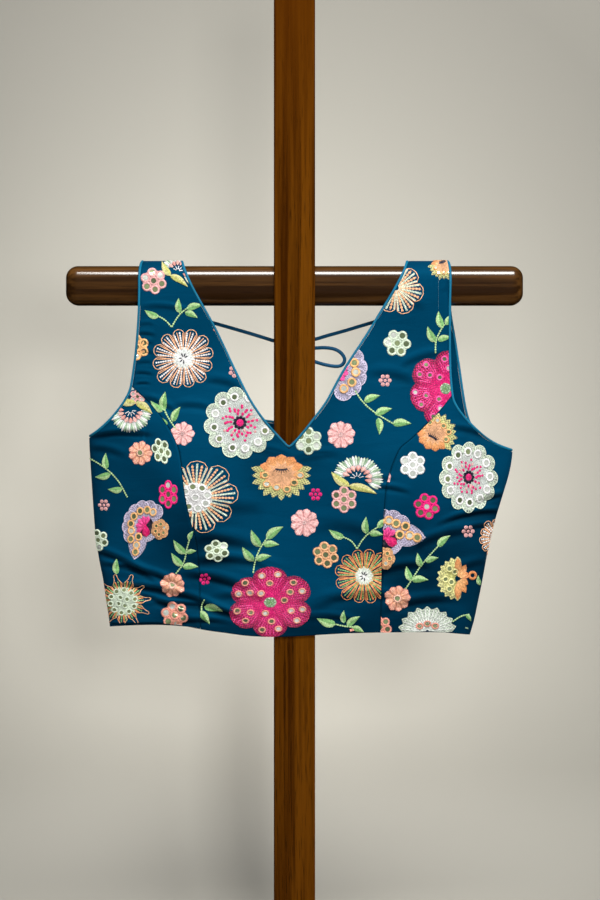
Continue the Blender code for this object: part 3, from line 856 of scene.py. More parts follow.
@dataclass
class Needle:
    """Sews shapes for one motif: its own millimetres, turned, stretched and moved to its place."""

    thread: Layer
    glass: Layer
    centre: Place
    stretch: Place = (1.0, 1.0)
    angle: float = 0.0
    chance: random.Random = field(default_factory=lambda: random.Random(1))
    base: float = 0.0

    def put(self, layer: Layer, x, y, lift, u, v, tint, lace=0.0, closed: bool = False) -> None:
        """Adds a sheet of corners; x and y have its whole shape, and the others are spread to it."""
        turn = math.radians(self.angle)
        x, y = np.asarray(x) * self.stretch[0], np.asarray(y) * self.stretch[1]
        rows = np.empty((*x.shape, 9))
        rows[..., 0] = self.centre[0] + x * math.cos(turn) - y * math.sin(turn)
        rows[..., 1] = self.centre[1] + x * math.sin(turn) + y * math.cos(turn)
        rows[..., 2], rows[..., 3], rows[..., 4] = lift + self.base, u, v
        rows[..., 5:8], rows[..., 8] = tint, lace
        layer.grid(rows, closed)

    def raised(self, amount: float) -> "Needle":
        """The same place, that much further off the cloth."""
        return replace(self, base=self.base + amount)

    def vary(self, hue: Hue) -> np.ndarray:
        """A hue a little lighter or darker than it is."""
        return np.array(hue.linear) * self.chance.uniform(0.86, 1.1)

    def blend(self, inner: Hue, outer: Hue, share: np.ndarray) -> np.ndarray:
        """Two hues blended, by each corner's share of the outer one."""
        return self.vary(inner) * (1 - share[..., None]) + self.vary(outer) * share[..., None]

    def petal(
        self, base: Place, tip: Place, half: float, inner: Hue, outer: Hue, lift: float = 0.7,
        belly: float = 1.4, round_end: float = 0.6, lace: float = 0.0, rows: int = 6, columns: int = 4,
        rim: float = 0.3,
    ) -> None:
        """Sews a petal or a leaf.

        Args:
            base: where it starts.
            tip: where it ends.
            half: half its greatest width.
            inner: its colour at the base.
            outer: its colour at the tip.
            lift: how far its middle stands off the cloth.
            belly: how near the tip it is widest; 1 is halfway.
            round_end: how blunt its ends are; smaller is blunter.
            lace: how open the stitches are.
            rows: faces along it.
            columns: faces across it.
            rim: how much darker its sides are than its middle, as painted shade between petals.
        """
        along = np.linspace(0, 1, rows + 1)[:, None] ** 0.9
        across = np.linspace(-1, 1, columns + 1)[None, :]
        width = half * (0.05 + 0.95 * np.sin(math.pi * np.clip(along, 0.001, 0.999) ** belly) ** round_end)
        dx, dy = tip[0] - base[0], tip[1] - base[1]
        length = math.hypot(dx, dy)
        dx, dy = dx / length, dy / length
        x = base[0] + dx * along * length - dy * across * width
        y = base[1] + dy * along * length + dx * across * width
        height = FOOT + lift * (1 - across**2) ** 0.7 * np.sin(math.pi * np.clip(along, 0.04, 0.94)) ** 0.5
        # Painted shade: the petal's sides are darker, by rim.
        tint = self.blend(inner, outer, along) * (1 - rim * across**4)[..., None]
        lace = np.minimum(lace * (0.3 + 0.9 * along), 1.0)
        self.put(self.thread, x, y, height, along * length, across * width, tint, lace)

    def ray(self, start: float, end: float, turn: float, *sewn, **more) -> None:
        """Sews a petal from one distance to another in one direction; the rest is as for petal."""
        self.petal(polar(start, turn), polar(end, turn), *sewn, **more)

    def disc(
        self, centre: Place, radius: float, inner: Hue, outer: Hue, lift: float = 0.6, lobes: int = 0,
        scallop: float = 0.0, lace: float = 0.0, rings: int = 3, segments: int = 18,
    ) -> None:
        """Sews a round patch.

        Args:
            centre: its middle, from which its threads run out.
            radius: its radius.
            inner: its colour in the middle.
            outer: its colour at the edge.
            lift: how far its middle stands off the cloth.
            lobes: how many scallops its edge has.
            scallop: how deep they are, as a share of the radius.
            lace: how open the stitches are.
            rings: faces from its middle to its edge.
            segments: faces round it.
        """
        turns = np.radians(np.linspace(0, 360, segments, endpoint=False))[None, :]
        out = np.linspace(0.02, 1, rings + 1)[:, None]
        edge = radius * (1 - scallop * (1 - np.abs(np.cos(lobes * turns / 2)) ** 0.7))
        reach = out * edge
        height = FOOT + lift * np.sqrt(np.clip(1 - out**3, 0, 1))
        x, y = centre[0] + reach * np.cos(turns), centre[1] + reach * np.sin(turns)
        tint = self.blend(inner, outer, out)
        self.put(self.thread, x, y, height, reach, turns * radius, tint, lace, True)

    def ring(
        self, centre: Place, radius: float, width: float, hue: Hue, lift: float = 0.9, segments: int = 14
    ) -> None:
        """Sews a raised ring of thread."""
        turns = np.linspace(0, 2 * math.pi, segments, endpoint=False)[None, :]
        across = np.array((-0.5, -0.28, 0.0, 0.28, 0.5))[:, None]
        height = FOOT + lift * np.cos(across * math.pi) ** 0.6
        reach = radius + width * across
        x, y = centre[0] + reach * np.cos(turns), centre[1] + reach * np.sin(turns)
        # Painted light and shade: the ring is lighter along its crest and darker at its sides.
        tint = self.vary(hue) * (0.82 + 0.36 * np.cos(across * math.pi))[..., None]
        self.put(self.thread, x, y, height, reach, turns * radius, tint, 0.0, True)

    def mirror(self, centre: Place, radius: float, hue: Hue | None = None) -> None:
        """Sets a small glass, tilted a little its own way."""
        pick = hue or self.chance.choice(GLASSES)
        turns = np.linspace(0, 2 * math.pi, 12, endpoint=False)[None, :]
        out = np.array((0.02, 1.0))[:, None]
        tilt = self.chance.uniform(0, 2 * math.pi)
        height = GLASS_FOOT + GLASS_TILT * out * np.cos(turns - tilt)
        x, y = centre[0] + radius * out * np.cos(turns), centre[1] + radius * out * np.sin(turns)
        self.put(self.glass, x, y, height, out, turns, self.vary(pick), 0.0, True)

    def ringed(self, centre: Place, radius: float, hue: Hue, glass: Hue | None = None) -> None:
        """Sets a mirror in its ring of thread; radius is the ring's outer one."""
        self.ring(centre, radius * 0.76, radius * 0.5, hue)
        self.mirror(centre, radius * 0.58, glass)

    def line(self, points: list, width: float, hue: Hue, lift: float = 0.55, beads: float = 0.0) -> None:
        """Sews a raised line along points, as a row of beads of that pitch if one is given."""
        path = np.array(points, dtype=float)
        steps = np.linalg.norm(np.diff(path, axis=0), axis=1)
        run = np.concatenate(([0], np.cumsum(steps)))
        count = max(2, int(run[-1] / (beads / 5 if beads else 1.6)) + 1)
        at = np.linspace(0, run[-1], count)
        x, y = np.interp(at, run, path[:, 0]), np.interp(at, run, path[:, 1])
        dx, dy = np.gradient(x), np.gradient(y)
        norm = np.hypot(dx, dy) + 1e-9
        swell = 0.25 + 0.75 * np.abs(np.sin(math.pi * at / beads)) ** 0.8 if beads else np.ones(count)
        across = np.array((-0.5, 0.0, 0.5))[None, :]
        wide = (width * swell)[:, None] * across
        height = LINE_FOOT + (lift * swell)[:, None] * (1 - 1.6 * np.abs(across))
        # Painted shade: a beaded line is darker in the low places between its beads.
        tint = self.vary(hue) * (0.45 + 0.6 * swell)[:, None, None]
        x, y = x[:, None] - (dy / norm)[:, None] * wide, y[:, None] + (dx / norm)[:, None] * wide
        self.put(self.thread, x, y, height, at[:, None], wide, tint)

    def spoke(self, start: float, end: float, turn: float, *sewn) -> None:
        """Sews a line from one distance to another in one direction; the rest is as for line."""
        self.line([polar(start, turn), polar(end, turn)], *sewn)

    def rim(self, middle: Place, radius: float, turn: float, step: float, *sewn) -> None:
        """Sews a line along the edge of a disc, five steps of that many degrees to each side of turn."""
        edge = [polar(radius * 0.97, turn - 5 * step + step * j) for j in range(11)]
        self.line([(middle[0] + x, middle[1] + y) for x, y in edge], *sewn)

    def leaf(
        self, base: Place, tip: Place, half: float = 0.0, light: Hue = Hue.LEAF, deep: Hue = Hue.LEAF_DEEP
    ) -> None:
        """Sews a pointed leaf, one half of it lighter than the other; half is half its width."""
        length = math.dist(base, tip)
        half = half or 0.2 * length + 0.6
        dx, dy = (tip[0] - base[0]) / length, (tip[1] - base[1]) / length
        along = np.linspace(0, 1, 9)[:, None]
        width = half * np.sin(math.pi * along**0.75) ** 0.85 * (1 - 0.25 * along)
        bend = 0.07 * length * np.sin(math.pi * along)
        for sign, hue in ((1, light), (-1, deep)):
            across = np.linspace(min(sign, 0), max(sign, 0), 4)[None, :]
            x = base[0] + dx * along * length - dy * (across * width + bend)
            y = base[1] + dy * along * length + dx * (across * width + bend)
            dome = (1 - across**2) ** 0.6 * np.sin(math.pi * np.clip(along, 0.05, 0.95)) ** 0.4
            tint = self.vary(hue) * (1.08 - 0.3 * np.abs(across) * (0.4 + 0.6 * along))[..., None]
            slant = along * length * 0.7 + np.abs(across) * width
            lane = along * length - np.abs(across) * width
            self.put(self.thread, x, y, FOOT + 0.75 * dome, slant, lane, tint)


def polar(radius: float, degrees: float) -> Place:
    """A place at that distance and direction from a motif's middle."""
    return radius * math.cos(math.radians(degrees)), radius * math.sin(math.radians(degrees))


def rosette(pen: Needle, r: float, hue: Hue, deep: Hue, glass: Hue | None = None) -> None:
    """Six ringed mirrors round a seventh, on a scalloped patch."""
    pen.disc((0, 0), r * 0.8, deep, hue, 0.15, 6, 0.2, rings=2)
    for k in range(6):
        pen.ringed(polar(r * 0.64, 60 * k + 30), r * 0.36, hue, glass)
    pen.ringed((0, 0), r * 0.34, hue, glass)


def satin(pen: Needle, r: float, hue: Hue, deep: Hue, pale: Hue = Hue.PINK_PALE) -> None:
    """A satin flower with scalloped lobes and a small glass or knots in the middle."""
    for k in range(9):
        turn = 40.0 * k + pen.chance.uniform(-3, 3)
        reach = r * pen.chance.uniform(0.95, 1.03)
        pen.ray(r * 0.1, reach, turn, r * 0.3, deep, hue, 0.8, 2.0, 0.46, 0.0, 8, 6, 0.35)
        for lean in (-8, 0, 8):
            pen.raised(0.62).spoke(r * 0.5, reach * 0.9, turn + lean, 0.5, pale, 0.2)
        pen.raised(0.5).spoke(r * 0.42, r * 0.8, turn + 20, 0.4, Hue.CORAL_DEEP, 0.1)
    top = pen.raised(0.5)
    top.disc((0, 0), r * 0.42, deep, hue, 0.4, 9, 0.14, segments=36)
    for k in range(12):
        top.spoke(r * 0.24, r * 0.38, 30 * k, 0.7, pale, 0.7)
    if hue is Hue.CORAL:
        pen.raised(1.3).ring((0, 0), r * 0.24, r * 0.12, pale, 0.8, 12)
        pen.raised(1.3).mirror((0, 0), r * 0.19, Hue.MIRROR)
    else:
        for k in range(5):
            top.disc(polar(r * 0.1, 72 * k), r * 0.08, pale, Hue.WHITE, 0.9, segments=7, rings=1)


@dataclass(frozen=True)
class Spoke:
    """One line of a petal: how far it leans to the petal's side, and how it is sewn."""

    lean: float
    hue: Hue
    width: float
    beads: float = 0.0


FINE_SPOKES = (
    Spoke(-0.66, Hue.PEACH, 0.8), Spoke(-0.2, Hue.WHITE, 1.7, 2.4),
    Spoke(0.22, Hue.PEACH, 0.9), Spoke(0.68, Hue.WHITE, 1.7, 2.4),
)
BEAD_SPOKES = (
    Spoke(-0.8, Hue.MINT, 2.3, 1.6), Spoke(-0.4, Hue.PEACH, 2.5, 3.2), Spoke(0.0, Hue.MINT, 2.3, 1.6),
    Spoke(0.4, Hue.PEACH, 2.5, 3.2), Spoke(0.8, Hue.MINT, 2.3, 1.6),
)
GREEN_SPOKES = (
    Spoke(-0.6, Hue.ORANGE_DEEP, 1.5), Spoke(-0.15, Hue.LEAF_DEEP, 1.5, 2.4),
    Spoke(0.3, Hue.ORANGE_DEEP, 1.5), Spoke(0.66, Hue.LEAF_DEEP, 1.5, 2.4),
)


def daisy(
    pen: Needle, r: float, core: float, petals: int, spokes: tuple, blunt: float = 1.0, edge: Hue = Hue.PEACH
) -> None:
    """Petals drawn in outline, with lines of stitches or beads from the middle out.

    Args:
        pen: the motif's needle.
        r: its radius.
        core: the radius of its middle.
        petals: how many petals it has.
        spokes: the lines of each petal.
        blunt: 1 for round petals; less for pointed ones.
        edge: the thread round each petal.
    """
    half = 180.0 / petals
    for k in range(petals):
        turn = 360.0 * k / petals + 7
        reach = r * pen.chance.uniform(0.92, 1.06)
        bounds = (
            (0.4, core * 0.9), (0.88, reach * (0.6 + 0.14 * blunt)),
            (0.87 * blunt, reach * (0.76 + 0.1 * blunt)), (0.5 * blunt, reach * 0.97),
        )
        left = [polar(out, turn - half * share) for share, out in bounds]
        right = [polar(out, turn + half * share) for share, out in bounds]
        pen.line(left + [polar(reach, turn)] + right[::-1], 0.7, edge, 0.55)
        for spoke in spokes:
            end = reach * (0.93 - 0.1 * abs(spoke.lean) - 0.25 * (1 - blunt))
            line = [polar(core * 0.95, turn + spoke.lean * half * 0.9), polar(end, turn + spoke.lean * half)]
            pen.line(line, spoke.width, spoke.hue, 0.65, spoke.beads)


def pierced(pen: Needle, r: float, hue: Hue, outer: int, glass: Hue | None = None) -> None:
    """A padded middle set with ringed mirrors."""
    pen.disc((0, 0), r, hue, hue, 0.5, outer, 0.08, segments=30)
    top = pen.raised(0.25)
    inner = 4 if outer > 8 else 1
    size = r * (0.27 if outer < 9 else 0.2)
    for k in range(inner):
        top.ringed(polar(r * 0.3 * (inner > 1), 90.0 * k + 30), size, hue, glass)
    for k in range(outer):
        top.ringed(polar(r * (0.68 if outer < 9 else 0.76), 360.0 * k / outer + 12), size, hue, glass)


def knotted(pen: Needle, r: float, hue: Hue) -> None:
    """A padded middle with a few dark stitches on it."""
    for k in range(9):
        pen.petal((0, 0), polar(r, 40 * k), r * 0.34, Hue.WHITE, hue, 0.7, 1.8, 0.6)
    top = pen.raised(0.45)
    for k, turn in enumerate((20, 62, 105, 165, 215, 262)):
        tip = polar(r * (0.42 + 0.06 * (k % 3)), turn + 8)
        top.petal(polar(r * 0.12, turn), tip, r * 0.075, Hue.NAVY, Hue.NAVY, 0.5)


def net(pen: Needle, r: float, lobes: int, hue: Hue, edge: Hue, rings: Hue) -> None:
    """A lace bloom with scalloped edges and ringed mirrors, pink stitches and a dark ring in its middle."""
    pen = pen.raised(0.3)
    pen.disc((0, 0), r * 0.84, hue, hue, 0.25, 0, 0.0, 0.35, 6, 36)
    top = pen.raised(0.3)
    for k in range(lobes):
        turn = 360.0 * k / lobes + pen.chance.uniform(-3, 3)
        size = r * 2.75 / lobes
        middle = polar(r - size, turn)
        pen.disc(middle, size, hue, edge, 0.3, 0, 0.0, 0.6, 3, 16)
        for j in range(9):
            x, y = polar(1.0, turn - 100 + 25 * j)
            ends = [(middle[0] + x * out, middle[1] + y * out) for out in (size * 0.45, size * 0.96)]
            top.line(ends, 0.5, edge, 0.25)
        top.rim(middle, size, turn, 22, 0.65, edge, 0.45)
        top.ringed(polar(r * 0.72, turn + 3), min(4.4, r * 0.135), rings)
    for reach, knots, size in ((0.25, 11, 0.055), (0.33, 13, 0.05), (0.41, 14, 0.045), (0.49, 9, 0.04)):
        for k in range(knots):
            turn = 360.0 * k / knots + pen.chance.uniform(-7, 7)
            out = r * reach * pen.chance.uniform(0.93, 1.05)
            pink = Hue.PINK if pen.chance.random() < 0.12 else Hue.MAGENTA
            top.ray(out - r * size, out + r * size, turn, r * 0.038, pink, pink, 0.6, 1.2, 0.5)
    for k in range(10):
        top.ray(r * 0.08, r * 0.2, 36 * k, r * 0.05, Hue.NAVY, Hue.NAVY, 0.6, 1.0, 0.5)
    top.disc((0, 0), r * 0.11, Hue.MAGENTA, Hue.MAGENTA, 1.0, rings=3, segments=14)


def bloom(pen: Needle, r: float, rings: Hue, petals: int = 6) -> None:
    """A large magenta flower with ringed mirrors round a pale green middle."""
    top = pen.raised(0.75)
    for k in range(petals):
        turn = 360.0 * k / petals + 30 + pen.chance.uniform(-3, 3)
        reach = r * pen.chance.uniform(0.95, 1.03)
        low = pen.raised(0.22 * (k % 2))
        low.ray(
            r * 0.02, reach, turn, r * 0.4, Hue.MAGENTA, Hue.MAGENTA_DEEP,
            0.75, 1.55, 0.42, 0.8, 16, 12, 0.55,
        )
        for j in range(9):
            lean = (j - 4) * 5.6
            end = reach * (0.95 - 0.014 * (j - 4) ** 2)
            rib = [polar(r * 0.42, turn + lean * 0.8), polar(end, turn + lean)]
            low.raised(0.5).line(rib, 0.75, Hue.MAGENTA_LIT, 0.35, 2.2)
        for lean, out in ((-12, 0.8), (13, 0.77), (1, 0.54)):
            top.ringed(polar(r * out, turn + lean + pen.chance.uniform(-3, 3)), r * 0.092, rings)
    for k in range(3):
        top.ringed(polar(r * 0.33, 120.0 * k + 10), r * 0.09, rings)
    top.disc((0, 0), r * 0.15, Hue.LEAF_DEEP, Hue.MINT_DEEP, 0.6, 12, 0.12, rings=3)
    for k in range(14):
        out = r * (0.05 if k < 4 else 0.115)
        top.disc(polar(out, 137 * k), r * 0.026, Hue.MINT, Hue.MINT, 1.1, segments=7, rings=1)


def fan(pen: Needle, r: float) -> None:
    """A lace fan that runs out to a point, with orange-ringed mirrors and magenta petals at its heart."""
    size = r * 0.3
    for k, turn in enumerate(range(-30, 127, 26)):
        middle = polar(r * 0.72, turn)
        pen.raised(0.1 * (k % 2)).disc(
            middle, size, Hue.LAVENDER_DEEP, Hue.LAVENDER, 0.3, 0, 0.0, 0.75, 3, 18
        )
        pen.raised(0.3).rim(middle, size, turn, 19, 0.6, Hue.LAVENDER, 0.5)
    pen.petal(
        polar(r * 0.25, 120), polar(r * 1.34, 170), r * 0.4, Hue.LAVENDER_DEEP, Hue.LAVENDER,
        0.4, 0.85, 0.8, 0.7, 10, 7,
    )
    pen.raised(0.15).disc((0, 0), r * 0.6, Hue.LAVENDER_DEEP, Hue.LAVENDER, 0.3, 0, 0.0, 0.6, 4, 24)
    pen.raised(0.4).disc((0, 0), r * 0.38, Hue.NAVY, Hue.NAVY, 0.3, segments=20)
    top = pen.raised(0.65)
    spots = [(0.64, turn) for turn in (-24, 4, 32, 60, 88)]
    spots += [(0.62, 116), (0.78, 136), (0.48, 156), (0.8, 162), (1.05, 168)]
    for out, turn in spots:
        top.ringed(polar(r * out, turn + pen.chance.uniform(-3, 3)), min(4.8, r * 0.165), Hue.ORANGE)
    for k in range(5):
        turn = -10.0 + 34.0 * k
        top.ray(r * 0.04, r * 0.42, turn, r * 0.1, Hue.MAGENTA, Hue.MAGENTA_LIT, 0.7, 2.0, 0.6)
    top.petal(
        polar(r * 0.1, 20), polar(r * 0.4, 200), r * 0.17, Hue.MAGENTA, Hue.MAGENTA_DEEP, 0.9, 1.6, 0.6
    )
    oval = [(x, y - r * 0.66) for x, y in (polar(r * 0.2, 60 * k) for k in range(6))]
    for k, place in enumerate(oval):
        pen.raised(0.5 + 0.05 * k).disc(place, r * 0.2, Hue.CORAL, Hue.ORANGE, 0.4, 0, 0.0, 0.35, 4, 16)
    for place in oval:
        pen.raised(1.1).ringed(place, r * 0.1, Hue.ORANGE)


def dome(pen: Needle, r: float) -> None:
    """An orange dome over pointed yellow-green petals, with mirrors between and a dark crescent."""
    for k in range(13):
        turn = 166.0 + 208.0 * k / 12
        reach = r * (0.97 if k % 2 else 1.03)
        pen.ray(r * 0.3, reach, turn, r * 0.15, Hue.LIME_DEEP, Hue.LIME, 0.5, 1.1, 0.8, 0.8)
    for k in range(7):
        turn = -4.0 + 188.0 * k / 6
        pen.ray(r * 0.1, r * 0.78, turn, r * 0.2, Hue.ORANGE, Hue.ORANGE_DEEP, 0.8, 2.0, 0.5, 0.0, 7, 6)
    pen.raised(0.35).disc((0, -r * 0.02), r * 0.6, Hue.PEACH, Hue.PEACH, 0.5, 9, 0.05, 0.0, 4, 36)
    top = pen.raised(0.75)
    for k in range(6):
        top.ringed(polar(r * (0.62 if k % 2 else 0.54), 184.0 + 172.0 * k / 5), r * 0.14, Hue.ORANGE)
    crescent = [(x * r, r * (0.17 + 0.9 * x * x)) for x in (-0.2, -0.12, 0.0, 0.12, 0.2)]
    top.line(crescent, 2.2, Hue.NAVY, 0.8)
    for k in range(7):
        x = (k - 3) * 0.065 * r
        top.line([(x, r * 0.13 + abs(x) * 0.25), (x * 1.35, r * 0.03 + abs(x) * 0.4)], 0.6, Hue.NAVY, 0.5)


def tuft(pen: Needle, r: float, fringe: int = 30) -> None:
    """A fan of looped fringe over coral petals, with two yellow leaves below it."""
    for k in range(fringe):
        turn = -34.0 + 206.0 * (k + 0.5) / fringe
        hue = (Hue.MINT, Hue.WHITE, Hue.MINT_DEEP)[k % 3]
        reach = r * pen.chance.uniform(0.95, 1.05)
        pen.ray(r * 0.56, reach, turn, r * 0.062, hue, hue, 0.6, 1.5, 0.5, rim=0.6)
        pen.spoke(r * 0.5, r * 0.7, turn + 4, 0.9, Hue.WHITE, 0.5, 1.5)
    for k in range(8):
        turn = -26.0 + 196.0 * (k + 0.5) / 8
        hue = Hue.CORAL_PALE if k % 2 else Hue.CORAL
        pen.raised(0.3).ray(r * 0.32, r * 0.6, turn, r * 0.1, hue, Hue.PINK, 0.8, 1.6, 0.55)
    for k in range(5):
        turn = 190.0 * (k + 0.5) / 5
        pen.raised(0.3).spoke(r * 0.08, r * 0.27, turn, 1.0, Hue.WHITE, 0.7, 1.6)
    over = pen.raised(0.5)
    over.leaf((-r * 0.3, -r * 0.38), (-r * 1.02, r * 0.3), r * 0.2, Hue.LIME, Hue.LIME_DEEP)
    over.leaf((-r * 0.35, -r * 0.34), (r * 0.78, -r * 0.72), r * 0.2, Hue.LIME, Hue.LIME_DEEP)


def dots(pen: Needle, r: float, hue: Hue) -> None:
    """Six large knots round a smaller one."""
    for k in range(6):
        pen.disc(polar(r * 0.64, 60 * k), r * 0.3, hue, hue, 0.9, segments=9, rings=2)
    pen.disc((0, 0), r * 0.24, hue, hue, 1.0, segments=8, rings=2)


def bud(pen: Needle, r: float) -> None:
    """A yellow-green bloom seen from its side, with an orange cup."""
    for k in range(11):
        turn = 92.0 + 176.0 * k / 10
        pen.ray(r * 0.15, r, turn, r * 0.15, Hue.LIME_DEEP, Hue.LIME, 0.5, 2.0, 0.5, 0.5)
    top = pen.raised(0.5)
    for out, turn in ((0.62, 132), (0.36, 118), (0.36, 205), (0.6, 182), (0.62, 228)):
        top.ringed(polar(r * out, turn), r * 0.16, Hue.LIME, Hue.MIRROR)
    for turn, reach in ((92, 0.95), (62, 0.72), (30, 0.5), (-30, 0.5), (-62, 0.72), (-92, 0.95)):
        top.ray(r * 0.08, r * reach, turn, r * 0.17, Hue.ORANGE, Hue.ORANGE_DEEP, 0.6, 1.0, 0.8)
    top.line([polar(r * 0.2, 0), polar(r * 0.5, 14)], r * 0.1, Hue.ORANGE_DEEP, 0.7)
    top.ring(polar(r * 0.66, 12), r * 0.15, r * 0.12, Hue.ORANGE_DEEP, 0.8, 12)


def sprig(pen: Needle, stems: tuple, leaves: tuple) -> None:
    """A stem in one or more branches, with its leaves."""
    for stem in stems:
        pen.line(soften(stem), 1.6, Hue.LEAF, 0.65, 2.4)
    for x, y, tip_x, tip_y in leaves:
        pen.leaf((x, y), (tip_x, tip_y))


def soften(points: tuple) -> list:
    """The same places with the corners between them rounded."""
    path = [Vector(place) for place in points]
    for _ in range(2):
        inner = [place for a, b in zip(path, path[1:]) for place in (a.lerp(b, 0.25), a.lerp(b, 0.75))]
        path = [path[0], *inner[1:-1], path[-1]] if len(path) > 2 else path
    return [tuple(place) for place in path]


def scallops(pen: Needle, r: float, hue: Hue) -> None:
    """A pale bloom of ribbed scallops with a few coral-ringed mirrors."""
    for k in range(9):
        turn = 10.0 + 160.0 * k / 8
        pen.ray(r * 0.05, r, turn, r * 0.19, Hue.IVORY, hue, 0.6, 2.2, 0.45, 0.5)
        for lean in (-5, 5):
            pen.raised(0.4).spoke(r * 0.3, r * 0.9, turn + lean, 0.6, Hue.WHITE, 0.5)
    for k in range(3):
        pen.raised(0.5).ringed(
            polar(r * (0.3 if k == 1 else 0.34), 38.0 + 52.0 * k), r * 0.14, Hue.CORAL, Hue.MIRROR
        )


class Kind(Enum):
    """The motifs that are sewn on the blouse."""

    ROSETTE = "mirror rosette"
    SATIN = "satin flower"
    DAISY = "fine chain-stitch daisy"
    GREEN_DAISY = "green chain-stitch daisy"
    BEAD_DAISY = "beaded daisy"
    FLARE = "beaded petals"
    STAR = "pointed daisy"
    NET = "lace bloom"
    BLOOM = "large magenta bloom"
    LAVENDER = "lavender fan"
    DOME = "orange dome"
    TUFT = "fringed fan"
    DOTS = "knot flower"
    BUD = "side bud"
    HEM = "ribbed scallops"


@dataclass(frozen=True)
class Motif:
    """One motif of the embroidery: what it is, where it is and how large."""

    kind: Kind
    hue: Hue
    x: float
    height: float
    radius: float
    angle: float = 0.0
    stretch: float = 1.0

    def sew(self, pen: Needle) -> None:
        """Sews the motif."""
        r, hue = self.radius, self.hue
        deep, pale = SHADES.get(hue, (hue, Hue.WHITE))
        match self.kind:
            case Kind.ROSETTE:
                rosette(pen, r, hue, deep, Hue.MIRROR_LIT if hue is Hue.WHITE else None)
            case Kind.SATIN:
                satin(pen, r, hue, deep, pale)
            case Kind.DAISY:
                daisy(pen, r, r * 0.32, 12, FINE_SPOKES)
                knotted(pen, r * 0.36, Hue.IVORY)
            case Kind.GREEN_DAISY:
                daisy(pen, r, r * 0.3, 12, GREEN_SPOKES, edge=Hue.ORANGE_DEEP)
                knotted(pen, r * 0.34, Hue.MINT)
            case Kind.BEAD_DAISY:
                daisy(pen, r, r * 0.4, 9, BEAD_SPOKES)
                pierced(pen, r * 0.42, Hue.WHITE, 8)
            case Kind.FLARE:
                daisy(pen, r, r * 0.1, 7, BEAD_SPOKES)
            case Kind.STAR:
                daisy(pen, r, r * 0.46, 11, GREEN_SPOKES, 0.35)
                pierced(pen, r * 0.55, Hue.MINT, 10, Hue.MIRROR)
            case Kind.NET:
                net(pen, r, 12, Hue.IVORY, Hue.MINT, Hue.WHITE)
            case Kind.BLOOM:
                bloom(pen, r, hue)
            case Kind.LAVENDER:
                fan(pen, r)
            case Kind.DOME:
                dome(pen, r)
            case Kind.TUFT:
                tuft(pen, r)
            case Kind.DOTS:
                dots(pen, r, hue)
            case Kind.BUD:
                bud(pen, r)
            case Kind.HEM:
                scallops(pen, r, hue)


# The deeper and the paler thread that go with each main one
SHADES = {
    Hue.PINK: (Hue.PINK, Hue.PINK_PALE),
    Hue.CORAL: (Hue.PEACH, Hue.CORAL_PALE),
    Hue.MAGENTA: (Hue.MAGENTA_DEEP, Hue.PINK),
    Hue.MINT: (Hue.MINT_DEEP, Hue.WHITE),
    Hue.WHITE: (Hue.MINT, Hue.IVORY),
    Hue.ORANGE: (Hue.ORANGE_DEEP, Hue.CORAL_PALE),
    Hue.PEACH: (Hue.ORANGE_DEEP, Hue.CORAL_PALE),
    Hue.LAVENDER: (Hue.LAVENDER_DEEP, Hue.WHITE),
}


@dataclass(frozen=True)
class Embroidery:
    """The needlework of one panel: its motifs, sprigs and single lines."""

    node: str
    side: Side
    motifs: tuple
    sprigs: tuple = ()
    lines: tuple = ()

    def sew(self, shell: "Shell") -> None:
        """Sews everything on the panel's shell, as one piece of thread and one of glass."""
        thread, glass = Layer(), Layer()
        chance = random.Random(self.node)
        for row in self.motifs:
            motif = Motif(*row)
            motif.sew(
                Needle(thread, glass, (motif.x, motif.height), (1.0, motif.stretch), motif.angle, chance)
            )
        over = Needle(thread, glass, (0.0, 0.0), chance=chance, base=0.25)
        for stems, leaves in self.sprigs:
            sprig(over, stems, leaves)
        for points, width, hue, beads in self.lines:
            over.line(list(points), width, hue, 0.6, beads)
        thread.lay_on("embroidery_" + self.node, shell, self.side, THREAD)
        glass.lay_on("mirrors_" + self.node, shell, self.side, MIRROR)
        log.info("%s: %d motifs, %d sprigs", self.node, len(self.motifs), len(self.sprigs))


